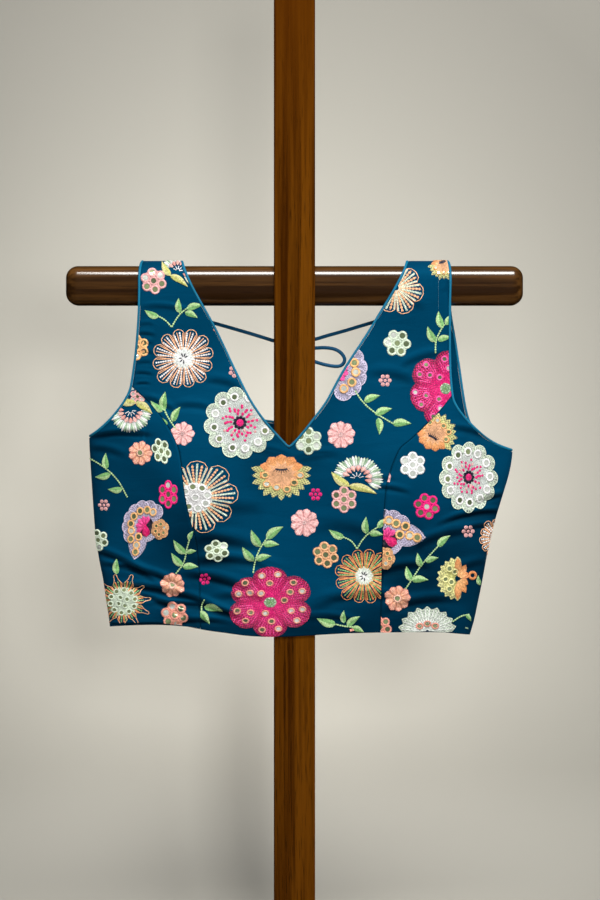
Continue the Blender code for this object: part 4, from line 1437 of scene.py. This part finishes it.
# columns: kind, hue, x, height, radius, then angle and stretch where they aren't 0 and 1
FRONT_MOTIFS = {
    "front_centre": (
        (Kind.ROSETTE, Hue.PINK, -140, 350, 13.5, 10),
        (Kind.ROSETTE, Hue.ORANGE, -157, 284, 13),
        (Kind.ROSETTE, Hue.MINT, -77, 82, 13, 10, 0.86),
        (Kind.ROSETTE, Hue.MINT, 14, 191, 14),
        (Kind.ROSETTE, Hue.PEACH, 31, 78, 13.5, 10),
        (Kind.ROSETTE, Hue.PINK, 49, 133, 13.5),
        (Kind.ROSETTE, Hue.MINT, 102, 288, 14, 25),
        (Kind.SATIN, Hue.PINK, -111, 198, 12),
        (Kind.SATIN, Hue.PINK, 46, 197, 14, 10),
        (Kind.SATIN, Hue.PINK, 10, 110, 14),
        (Kind.DAISY, Hue.WHITE, -110, 273, 31.5, 5),
        (Kind.BEAD_DAISY, Hue.WHITE, -98, 135, 42, 0, 0.9),
        (Kind.GREEN_DAISY, Hue.MINT, 69, 57, 29, 10),
        (Kind.FLARE, Hue.WHITE, 101, 343, 27, -20),
        (Kind.NET, Hue.WHITE, -54, 209, 36, 8),
        (Kind.BLOOM, Hue.CORAL, -24, 31, 43, 0, 0.82),
        (Kind.BLOOM, Hue.MAGENTA_LIT, 150, 243, 38, -12),
        (Kind.LAVENDER, Hue.LAVENDER, 41, 261, 31, -40),
        (Kind.DOME, Hue.ORANGE, -13, 158, 30, 0, 0.84),
        (Kind.TUFT, Hue.MINT, 62, 154, 25, 0, 0.86),
        (Kind.TUFT, Hue.MINT, -116, 360, 18, -15),
        (Kind.DOTS, Hue.MAGENTA, 21, 138, 7),
        (Kind.DOTS, Hue.MAGENTA, -89, 54, 6.5, 10),
        (Kind.DOTS, Hue.PINK, 90, 251, 7),
        (Kind.DOTS, Hue.PINK, -59, 260, 7, 20),
        (Kind.DOME, Hue.ORANGE, 148, 366, 15, 20),
    ),
    "front_side_left": (
        (Kind.ROSETTE, Hue.MINT, -132, 181, 9.6, 20, 1.4),
        (Kind.ROSETTE, Hue.MAGENTA, -125, 138, 10.4, 0, 1.38),
        (Kind.ROSETTE, Hue.CORAL, -119, 18, 14, 15),
        (Kind.ROSETTE, Hue.PINK, -156, 235, 8),
        (Kind.ROSETTE, Hue.MINT, -196, 92, 11, 10),
        (Kind.SATIN, Hue.CORAL, -153, 179, 12),
        (Kind.SATIN, Hue.CORAL, -121, 48, 12.5, 12),
        (Kind.STAR, Hue.MINT, -171, 31, 30, 0, 0.9),
        (Kind.LAVENDER, Hue.LAVENDER, -148, 106, 26, 80, 0.88),
        (Kind.TUFT, Hue.MINT, -163, 221, 21, 188),
        (Kind.DOTS, Hue.PINK, -190, 127, 6.5),
    ),
    "front_side_right": (
        (Kind.ROSETTE, Hue.WHITE, 117, 167, 13.5),
        (Kind.ROSETTE, Hue.MAGENTA, 131, 126, 13.5, 15),
        (Kind.ROSETTE, Hue.CORAL, 85, 6, 12, 15),
        (Kind.SATIN, Hue.CORAL, 102, 35, 13),
        (Kind.DAISY, Hue.WHITE, 203, 94, 20),
        (Kind.NET, Hue.WHITE, 173, 155, 29.5, 0, 1.19),
        (Kind.LAVENDER, Hue.LAVENDER, 91, 94, 29, 172, -1),
        (Kind.DOME, Hue.ORANGE, 139, 198, 23, 150, 0.95),
        (Kind.BUD, Hue.LIME, 163, 54, 22),
        (Kind.HEM, Hue.MINT, 132, 2, 29, 0, 0.84),
        (Kind.DOTS, Hue.PINK, 173, 101, 7),
    ),
}
# each sprig: its stems as places along them, then its leaves as base and tip
FRONT_SPRIGS = {
    "front_centre": (
        (
            (((-122, 304), (-117, 313), (-112, 319), (-105, 324)), ((-122, 304), (-128, 311), (-137, 316))),
            ((-135, 314, -149, 321), (-114, 318, -115, 333), (-107, 322, -91, 326), (-109, 319, -96, 313)),
        ),
        (
            (((-117, 202), (-124, 212), (-130, 223), (-129, 235)),),
            ((-130, 221, -128, 240), (-131, 220, -143, 231), (-121, 210, -113, 225), (-126, 207, -133, 215)),
        ),
        (
            (((-41, 60), (-39, 73), (-33, 87), (-26, 96)),),
            ((-40, 72, -52, 86), (-34, 86, -43, 103), (-28, 94, -11, 106),
             (-31, 88, -15, 88), (-38, 73, -23, 77)),
        ),
        (
            (((140, 278), (140, 290), (144, 299), (149, 307)),),
            ((140, 289, 132, 305), (147, 303, 143, 320), (150, 306, 159, 317), (142, 291, 156, 294)),
        ),
        (
            (((60, 241), (67, 230), (79, 219), (98, 208)),),
            ((69, 230, 85, 236), (80, 217, 97, 223), (83, 214, 84, 197), (97, 208, 116, 208)),
        ),
        (
            (((62, 84), (67, 93), (75, 101), (83, 106)), ((62, 84), (57, 92), (48, 96))),
            ((49, 95, 34, 103), (71, 99, 71, 116), (74, 99, 88, 98), (82, 105, 93, 114)),
        ),
        (
            (((-89, 34), (-93, 27), (-91, 17)),),
            ((-90, 26, -71, 22), (-95, 22, -84, 9)),
        ),
        (
            (((61, 6), (50, 7), (41, 9)),),
            ((41, 9, 22, 15), (49, 10, 49, 23), (52, 7, 65, 17), (57, 6, 69, 1)),
        ),
    ),
    "front_side_left": (
        (
            (((-205, 174), (-194, 168), (-183, 160), (-174, 150), (-166, 135)),),
            ((-187, 163, -188, 179), (-183, 158, -199, 155), (-171, 143, -186, 143)),
        ),
        (
            (((-118, 59), (-109, 70), (-107, 83), (-103, 97)),),
            ((-108, 79, -120, 93), (-111, 67, -122, 80), (-107, 80, -97, 82),
             (-111, 66, -95, 66), (-105, 93, -100, 102)),
        ),
        (
            (),
            ((-177, 58, -177, 74),),
        ),
    ),
    "front_side_right": (
        (
            (((110, 44), (120, 59), (128, 71), (144, 88)),),
            ((142, 86, 155, 97), (130, 71, 143, 75), (126, 66, 122, 80),
             (116, 52, 111, 67), (116, 53, 133, 53)),
        ),
        (
            (((157, 11), (166, 17), (174, 18)),),
            ((171, 18, 176, 11),),
        ),
        (
            (),
            ((185, 47, 183, 57),),
        ),
    ),
}
# each line: its places, width, hue and the pitch of its beads
FRONT_LINES = {
    "front_centre": (
        (((-80, 302), (-75, 298)), 2.4, Hue.CORAL, 0.0),
        (((55, 3), (59, 4)), 2.4, Hue.CORAL, 0.0),
        (((143, 354), (143, 339), (143, 322)), 0.5, Hue.PIPING, 2.2),
    ),
    "front_side_left": (
        (((-161, 260), (-162, 251), (-159, 243)), 1.6, Hue.MAGENTA, 0.0),
    ),
    "front_side_right": (
        (((93, 161), (94, 156), (93, 150)), 2.4, Hue.PINK, 0.0),
        (((170, 5), (173, 4)), 1.3, Hue.MINT_DEEP, 0.0),
    ),
}
BACK_MOTIFS = {
    "back_left": (
        (Kind.BLOOM, Hue.CORAL, -62, 44, 38, 10, 0.9),
        (Kind.DAISY, Hue.WHITE, -146, 62, 30),
        (Kind.ROSETTE, Hue.CORAL, -108, 28, 13.5, 10),
        (Kind.ROSETTE, Hue.PINK, -104, 92, 13.5, 20),
        (Kind.SATIN, Hue.CORAL, -24, 94, 13),
        (Kind.DOTS, Hue.PINK, -68, 100, 6.5),
        (Kind.LAVENDER, Hue.LAVENDER, -98, 142, 32, 60),
        (Kind.ROSETTE, Hue.MINT, -160, 118, 13.5),
        (Kind.NET, Hue.WHITE, -40, 150, 34),
        (Kind.TUFT, Hue.MINT, -148, 170, 24, 10, 0.9),
        (Kind.SATIN, Hue.PINK, -132, 214, 12.5),
        (Kind.BEAD_DAISY, Hue.WHITE, -80, 222, 31, 5),
        (Kind.ROSETTE, Hue.MAGENTA, -28, 214, 13.5, 10),
        (Kind.DOME, Hue.ORANGE, -36, 262, 26, 0, 0.84),
        (Kind.ROSETTE, Hue.PEACH, -120, 262, 13.5),
        (Kind.DOTS, Hue.MAGENTA, -92, 266, 6.5),
        (Kind.SATIN, Hue.PINK, -128, 304, 13, 10),
        (Kind.BUD, Hue.LIME, -134, 344, 20, 60),
    ),
    "back_right": (
        (Kind.GREEN_DAISY, Hue.MINT, 56, 46, 31),
        (Kind.BLOOM, Hue.CORAL, 134, 58, 40, 0, 0.9),
        (Kind.ROSETTE, Hue.MINT, 18, 84, 13.5),
        (Kind.ROSETTE, Hue.CORAL, 184, 92, 13.5),
        (Kind.SATIN, Hue.PINK, 94, 104, 13),
        (Kind.DOME, Hue.ORANGE, 52, 116, 28, 0, 0.84),
        (Kind.NET, Hue.WHITE, 148, 138, 34),
        (Kind.DOTS, Hue.MAGENTA, 100, 136, 6.5),
        (Kind.ROSETTE, Hue.PINK, 20, 152, 13.5, 10),
        (Kind.LAVENDER, Hue.LAVENDER, 72, 176, 30, 120),
        (Kind.ROSETTE, Hue.WHITE, 122, 192, 13.5, 20),
        (Kind.SATIN, Hue.CORAL, 164, 190, 12.5),
        (Kind.TUFT, Hue.MINT, 24, 214, 24, -10, 0.9),
        (Kind.BLOOM, Hue.CORAL, 98, 242, 34, 20),
        (Kind.ROSETTE, Hue.PEACH, 50, 254, 13.5),
        (Kind.DOTS, Hue.PINK, 146, 226, 6.5),
        (Kind.SATIN, Hue.PINK, 20, 268, 12.5),
        (Kind.ROSETTE, Hue.MINT, 130, 300, 13.5, 10),
        (Kind.STAR, Hue.MINT, 134, 344, 26),
    ),
}
BACK_SPRIGS = {
    "back_left": (
        (
            (((-186, 92), (-176, 104), (-170, 120), (-168, 140)),),
            ((-183, 96, -192, 108), (-176, 106, -164, 98), (-171, 118, -183, 124), (-169, 132, -178, 146)),
        ),
        (
            (((-118, 106), (-126, 96), (-134, 92), (-146, 92)),),
            ((-122, 100, -122, 112), (-128, 95, -126, 84), (-136, 92, -140, 103), (-142, 92, -148, 82)),
        ),
        (
            (((-66, 176), (-74, 184), (-80, 192)),),
            ((-68, 178, -62, 188), (-74, 184, -86, 180), (-78, 190, -72, 200)),
        ),
        (
            (((-62, 250), (-72, 262), (-78, 278), (-80, 290)),),
            ((-66, 255, -56, 262), (-73, 264, -84, 262), (-76, 272, -66, 280), (-79, 284, -90, 286)),
        ),
        (
            (((-8, 20), (-14, 34), (-16, 50), (-14, 64)),),
            ((-10, 26, -20, 30), (-14, 38, -4, 44), (-16, 50, -26, 56), (-15, 58, -6, 66)),
        ),
    ),
    "back_right": (
        (
            (((90, 16), (92, 32), (90, 48), (92, 66)),),
            ((91, 22, 101, 16), (92, 34, 82, 40), (90, 48, 100, 54), (91, 58, 82, 66)),
        ),
        (
            (((166, 96), (176, 108), (182, 122), (186, 140)),),
            ((170, 101, 180, 96), (177, 111, 188, 114), (181, 120, 172, 128), (185, 134, 194, 142)),
        ),
        (
            (((60, 146), (76, 144), (92, 150), (104, 160)),),
            ((66, 145, 68, 134), (78, 144, 84, 155), (88, 148, 94, 138), (97, 154, 108, 150)),
        ),
        (
            (((40, 226), (52, 222), (62, 224), (72, 230)),),
            ((44, 225, 44, 237), (54, 222, 60, 212), (62, 224, 60, 236)),
        ),
        (
            (((8, 20), (12, 34), (14, 50), (10, 64)),),
            ((10, 27, 20, 30), (13, 40, 4, 46), (14, 50, 24, 56)),
        ),
        (
            (((128, 218), (138, 226), (146, 240), (148, 256)),),
            ((132, 221, 130, 210), (140, 229, 152, 230), (146, 240, 138, 248), (148, 250, 157, 258)),
        ),
    ),
}
# columns: x, y, height; each route is the middle of its cord
TIES = {
    "tie_left": (
        (-105.2, 20.6, 316.6), (-94, 21.4, 313.4), (-81, 22.4, 309.8), (-66, 23.5, 305.6),
        (-50, 24.5, 301), (-34, 25.6, 296.2), (-21.8, 26.6, 292.4), (-11.8, 28, 289.9), (-8.8, 28, 288.6),
    ),
    "tie_right": (
        (105.4, 20.6, 318.2), (94, 21.4, 315), (80.2, 22.4, 311), (66, 23.5, 306.8),
        (50, 24.5, 302), (34, 25.6, 297.6), (20.9, 26.8, 293.8), (10.3, 28, 291.5), (8, 28, 289.3),
    ),
    "tie_loop": (
        (9.2, 28, 283.2), (12.4, 28, 282.6), (15, 27.6, 284.2), (20.9, 27, 284.8), (31, 26.4, 285.2),
        (40.7, 26.2, 283.6), (47.4, 26.3, 279.4), (50.6, 26.6, 273.6), (48.6, 27, 268.4), (
            43.3, 27.4, 266.4
        ),
        (33, 27.8, 267.6), (20.9, 28.4, 271), (11.5, 29.2, 275), (7, 30.8, 276.6), (5.4, 29.8, 279),
    ),
    "tie_end_left": (
        (-4.4, 30.5, 279.3), (-6, 31.4, 275.5), (-6.2, 31.4, 270), (-7, 31.4, 255), (-7.8, 31.4, 235),
        (-8.4, 31.2, 212), (-9.2, 31.2, 190), (-9.6, 31.4, 165), (-9.2, 31.4, 140), (-8.8, 31, 122),
    ),
    "tie_end_right": (
        (0.2, 31.2, 278.6), (0.3, 32.6, 275), (1.2, 31.9, 268), (3, 31.8, 252), (5, 31.6, 232),
        (6.2, 31.4, 212), (7.2, 31.4, 192), (8.2, 31.4, 172), (8.4, 31.2, 150),
    ),
}


@dataclass
class Ties:
    """The cord ties across the back: two runs, a bow loop, a knot and two free ends with small knots."""

    radius: float = 1.8
    knot: tuple[float, float, float] = (0.0, 28.0, 285.0)
    knot_radii: tuple[float, float, float] = (9.0, 5.6, 7.5)
    twist: tuple[float, float, float] = (1.7, 0.9, 2.1)
    end_radius: float = 4.2
    gap: float = 0.3
    step: float = 3.0

    def build(self) -> None:
        """Makes every cord and knot."""
        self.ball("tie_knot", self.knot, self.knot_radii)
        for hand in ("left", "right"):
            x, y, height = TIES["tie_end_" + hand][-1]
            centre = (x, y, height - self.end_radius - self.gap)
            self.ball("tie_end_knot_" + hand, centre, (self.end_radius,) * 3)
        for name, route in TIES.items():
            made, length = self.cord(name, route)

    def cord(self, name: str, route: tuple) -> tuple[Object, float]:
        """Makes one cord.

        Args:
            name: the solid of the frame that it stands for.
            route: its middle line, as rows of x, y and height.

        Returns:
            The cord and its length in metres.
        """
        knots = [Vector((x, y, height + HEM_LEVEL)) * MM for x, y, height in route]
        line = smooth_line(knots, self.step * MM)
        curve = bpy.data.curves.new(name + "_cord", "CURVE")
        curve.dimensions = "3D"
        curve.bevel_depth = self.radius * MM
        curve.bevel_resolution = 4
        curve.use_fill_caps = True
        spline = curve.splines.new("POLY")
        spline.points.add(len(line) - 1)
        for point, place in zip(spline.points, line):
            point.co = (*place, 1.0)
        spline.use_smooth = True
        made = settle(new_object(name + "_cord", curve), CORDAGE, name)
        return made, sum((b - a).length for a, b in zip(line, line[1:]))

    def ball(self, node: str, centre: tuple, radii: tuple) -> None:
        """Makes a knot: a ball with the turns of its cord wound round it."""
        bpy.ops.mesh.primitive_uv_sphere_add(segments=48, ring_count=30, radius=1.0)
        made = bpy.context.object
        made.name = made.data.name = node + "_cloth"
        points = read_points(made.data)
        wound = np.abs(np.sin(points @ self.twist))
        points *= (0.9 + 0.1 * wound**0.6)[:, None]
        points *= np.array(radii) * MM
        points += np.array((centre[0], centre[1], centre[2] + HEM_LEVEL)) * MM
        write_points(made.data, points)
        smooth_shade(made)
        settle(made, CORDAGE, node)


def smooth_line(knots: list, step: float) -> list:
    """Points a step apart on a smooth curve through the knots."""
    line = []
    for i in range(len(knots) - 1):
        before, start, end = knots[max(i - 1, 0)], knots[i], knots[i + 1]
        after = knots[min(i + 2, len(knots) - 1)]
        count = max(1, round((end - start).length / step))
        for j in range(count):
            t = j / count
            line.append(
                0.5 * (2 * start + (end - before) * t + (2 * before - 5 * start + 4 * end - after) * t**2
                       + (3 * start - before - 3 * end + after) * t**3)
            )
    return line + [knots[-1]]


@dataclass
class Stand:
    """The wooden stand: a base board, a post and the crossbar let through it, all round one upright line."""

    base: tuple[float, float, float] = (300.0, 280.0, 24.0)
    post: tuple[float, float] = (41.0, 44.0)
    top: float = 972.0
    bar: tuple[float, float, float] = (456.0, 36.0, 39.0)
    bar_level: float = 669.0
    bar_edge: float = 12.0
    base_edge: float = 5.0
    post_edge: float = 2.5
    gap: float = 0.3
    sharp: float = 30.0

    def build(self) -> None:
        """Makes the three pieces."""
        self.block("stand_base", self.base, self.base[2] / 2, self.base_edge, BASE_WOOD)
        foot = self.base[2] + self.gap
        tall = (*self.post, self.top - foot)
        post = self.block("stand_post", tall, (self.top + foot) / 2, self.post_edge, POST_WOOD)
        room = (self.bar[0] + 1.0, self.bar[1] + 2 * self.gap, self.bar[2] + 2 * self.gap)
        cutter = self.shape("mortise", room, self.bar_level, self.bar_edge + self.gap)
        hole = post.modifiers.new("mortise", "BOOLEAN")
        hole.operation = "DIFFERENCE"
        hole.object = cutter
        apply_modifiers(post)
        bpy.data.objects.remove(cutter)
        smooth_shade(post, self.sharp)
        self.block("stand_bar", self.bar, self.bar_level, self.bar_edge, BAR_WOOD)

    def block(self, node: str, size: tuple, level: float, edge: float, finish: Finish) -> Object:
        """Makes one piece of the stand with rounded edges."""
        return settle(self.shape(node + "_wood", size, level, edge), finish, node)

    def shape(self, name: str, size: tuple, level: float, edge: float) -> Object:
        """A block of that size with its middle at that level, its edges rounded to that radius."""
        bpy.ops.mesh.primitive_cube_add(size=1.0)
        made = bpy.context.object
        made.name = made.data.name = name
        write_points(made.data, (read_points(made.data) * size + (0.0, 0.0, level)) * MM)
        rounding = made.modifiers.new("rounding", "BEVEL")
        rounding.width = edge * MM
        rounding.segments = 10
        apply_modifiers(made)
        smooth_shade(made, self.sharp)
        return made


@dataclass
class Studio:
    """The camera, the lights, the wall with painted light and shade, and the floor."""

    camera_at: tuple[float, float, float] = (0.0055, -3.0, 0.505)
    lens: float = 120.0
    aim: tuple[float, float, float] = (0.0, 0.0, 0.5)
    wall: float = 0.36
    sweep: float = 0.15
    matt: float = 0.9
    # A painted pool of light on the wall: its middle, how painted shade grows away from it, and its lightest
    # and darkest colour
    painted_light_at: Place = (-0.046, 0.336)
    painted_light_weight: Place = (1.914, 1.157)
    painted_light_power: float = 0.911
    painted_light_end: float = 0.7
    painted_light_half: float = 0.158
    painted_lit_wall: Colour = (1.0, 0.972, 0.87)
    painted_shaded_wall: Colour = (0.035, 0.034, 0.0302)
    ground: Colour = (0.27, 0.255, 0.227)
    sky: Colour = (0.95, 0.96, 1.0)
    sky_strength: float = 0.32

    def build(self) -> None:
        """Makes the whole studio."""
        self.camera()
        self.backdrop()
        self.floor()
        self.light("top_front", (0.25, -1.25, 2.0), (1.5, 0.7), 61.0, (1.0, 0.98, 0.94))
        self.light("right_front", (0.36, -2.4, 0.8), (0.5, 0.5), 26.0, (1.0, 0.99, 0.96), False)
        self.light("side_front", (1.9, -1.6, 0.8), (0.7, 1.2), 6.0, (0.98, 0.99, 1.0), False)
        self.light("behind", (-0.9, 2.3, 1.5), (1.2, 1.0), 20.0, (1.0, 0.99, 0.97), False)
        world = bpy.data.worlds.new("studio")
        bpy.context.scene.world = world
        world.use_nodes = True
        world.cycles_visibility.glossy = False
        graph = Graph(world.node_tree)
        sky = world.node_tree.nodes["Background"]
        graph.feed(sky.inputs["Color"], self.sky)
        graph.feed(sky.inputs["Strength"], self.sky_strength)
        bpy.context.scene.view_settings.view_transform = "Standard"

    def camera(self) -> None:
        """Puts the camera straight in front of the blouse."""
        data = bpy.data.cameras.new("camera")
        data.lens = self.lens
        data.sensor_width = 36.0
        data.clip_end = 20.0
        made = new_object("camera", data)
        made.location = self.camera_at
        made.rotation_euler = (math.pi / 2, 0.0, 0.0)
        bpy.context.scene.camera = made

    def light(
        self, name: str, at: tuple, size: Place, power: float, colour: Colour, shine: bool = True
    ) -> None:
        """Adds a soft light that faces the blouse.

        Args:
            name: its name.
            at: its place.
            size: its width and length.
            power: its power in watts.
            colour: its colour.
            shine: whether glossy surfaces reflect it.
        """
        data = bpy.data.lights.new(name, "AREA")
        data.shape = "RECTANGLE"
        data.size, data.size_y = size
        data.energy = power
        data.color = colour
        made = new_object(name, data)
        made.location = at
        towards = Vector(self.aim) - Vector(at)
        made.rotation_euler = towards.to_track_quat("-Z", "Y").to_euler()
        made.visible_glossy = shine

    def backdrop(self) -> None:
        """Makes the wall with its painted light and the floor before it, as one sheet that shows only from
        the front.
        """
        sweep = [(-2.5, 0.0), (self.wall - self.sweep, 0.0)]
        sweep += [
            (self.wall - self.sweep * (1 - math.sin(a)), self.sweep * (1 - math.cos(a)))
            for a in (math.radians(9 * i) for i in range(1, 11))
        ]
        sweep.append((self.wall, 2.6))
        points = [(x, y, z) for y, z in sweep for x in (-2.2, 2.2)]
        faces = [(2 * i, 2 * i + 1, 2 * i + 3, 2 * i + 2) for i in range(len(sweep) - 1)]
        mesh = bpy.data.meshes.new("backdrop")
        mesh.from_pydata(points, [], faces)
        mesh.update()
        mesh.shade_smooth()
        made = new_object("backdrop", mesh)
        paint, graph, shader = Finish("pale_wall", "wall", self.matt).start()
        parts = graph.add("SeparateXYZ", Vector=graph.place()).outputs
        # Painted light: the wall is painted brightest at one place, and painted shade darkens it with the
        # distance from there.
        away = 0.0
        for axis, middle, weight in zip("XZ", self.painted_light_at, self.painted_light_weight):
            offset = graph.math("ABSOLUTE", graph.math("SUBTRACT", parts[axis], middle))
            away = graph.plus(away, graph.times(graph.math("POWER", offset, 2.0), weight))
        away = graph.math("MINIMUM", graph.math("POWER", away, self.painted_light_power), self.painted_light_end)
        away = graph.math("DIVIDE", away, graph.plus(away, self.painted_light_half))
        graph.feed(shader.inputs["Base Color"], graph.mix(away, self.painted_lit_wall, self.painted_shaded_wall))
        rays = graph.add("LightPath").outputs
        unseen = graph.math("MAXIMUM", graph.add("NewGeometry").outputs["Backfacing"], rays["Is Shadow Ray"])
        unseen = graph.math("MAXIMUM", unseen, rays["Is Glossy Ray"])
        clear = graph.add("BsdfTransparent").outputs[0]
        both = graph.add("MixShader", Fac=unseen)
        graph.feed(both.inputs[1], shader.outputs[0])
        graph.feed(both.inputs[2], clear)
        graph.feed(paint.node_tree.nodes["Material Output"].inputs["Surface"], both.outputs[0])
        mesh.materials.append(paint)

    def floor(self) -> None:
        """Makes a floor all round, just under the other."""
        bpy.ops.mesh.primitive_plane_add(size=14.0, location=(0.0, 0.0, -0.002))
        floor = bpy.context.object
        floor.name = floor.data.name = "floor"
        plain = Finish("pale_floor", "floor", self.matt, {"Base Color": self.ground})
        floor.data.materials.append(plain.start()[0])
        floor.visible_glossy = False


# The rectangle that each panel is cut from, width and length, and the panel's own area
PANELS = {
    "front_centre": ((0.320, 0.375), 0.0687),
    "front_side_left": ((0.114, 0.244), 0.0211),
    "front_side_right": ((0.135, 0.240), 0.0234),
    "back_left": ((0.208, 0.375), 0.0520),
    "back_right": ((0.220, 0.375), 0.0531),
}


@dataclass
class Blouse:
    """The garment: five cloth panels, their bound edges and the embroidery on them."""

    drape: Drape = field(default_factory=Drape)
    panels: dict = field(default_factory=dict)
    front_levels: int = 3
    back_levels: int = 2
    cloth_sharp: float = 40.0
    piping_sharp: float = 60.0
    piping_swell: float = 0.3

    def build(self) -> None:
        """Makes the panels, the piping and the embroidery."""
        for node, (flat, area) in PANELS.items():
            levels = self.front_levels if node.startswith("front") else self.back_levels
            shell = Shell(node, self.drape, CLOTH, levels, self.cloth_sharp)
            self.panels[node] = shell
        for node in ("neck_piping", "armhole_piping_left", "armhole_piping_right"):
            Shell(node, self.drape, PIPING, 1, self.piping_sharp, self.piping_swell)
        for node, motifs in (FRONT_MOTIFS | BACK_MOTIFS).items():
            side = Side.FRONT if node.startswith("front") else Side.BACK
            sprigs = (FRONT_SPRIGS | BACK_SPRIGS)[node]
            Embroidery(node, side, motifs, sprigs, FRONT_LINES.get(node, ())).sew(self.panels[node])


def main() -> None:
    """Builds the whole scene."""
    logging.basicConfig(level=logging.INFO, format="%(name)s: %(message)s")
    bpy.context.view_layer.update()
    Studio().build()
    Stand().build()
    Ties().build()
    Blouse().build()


if __name__ == "__main__":
    main()
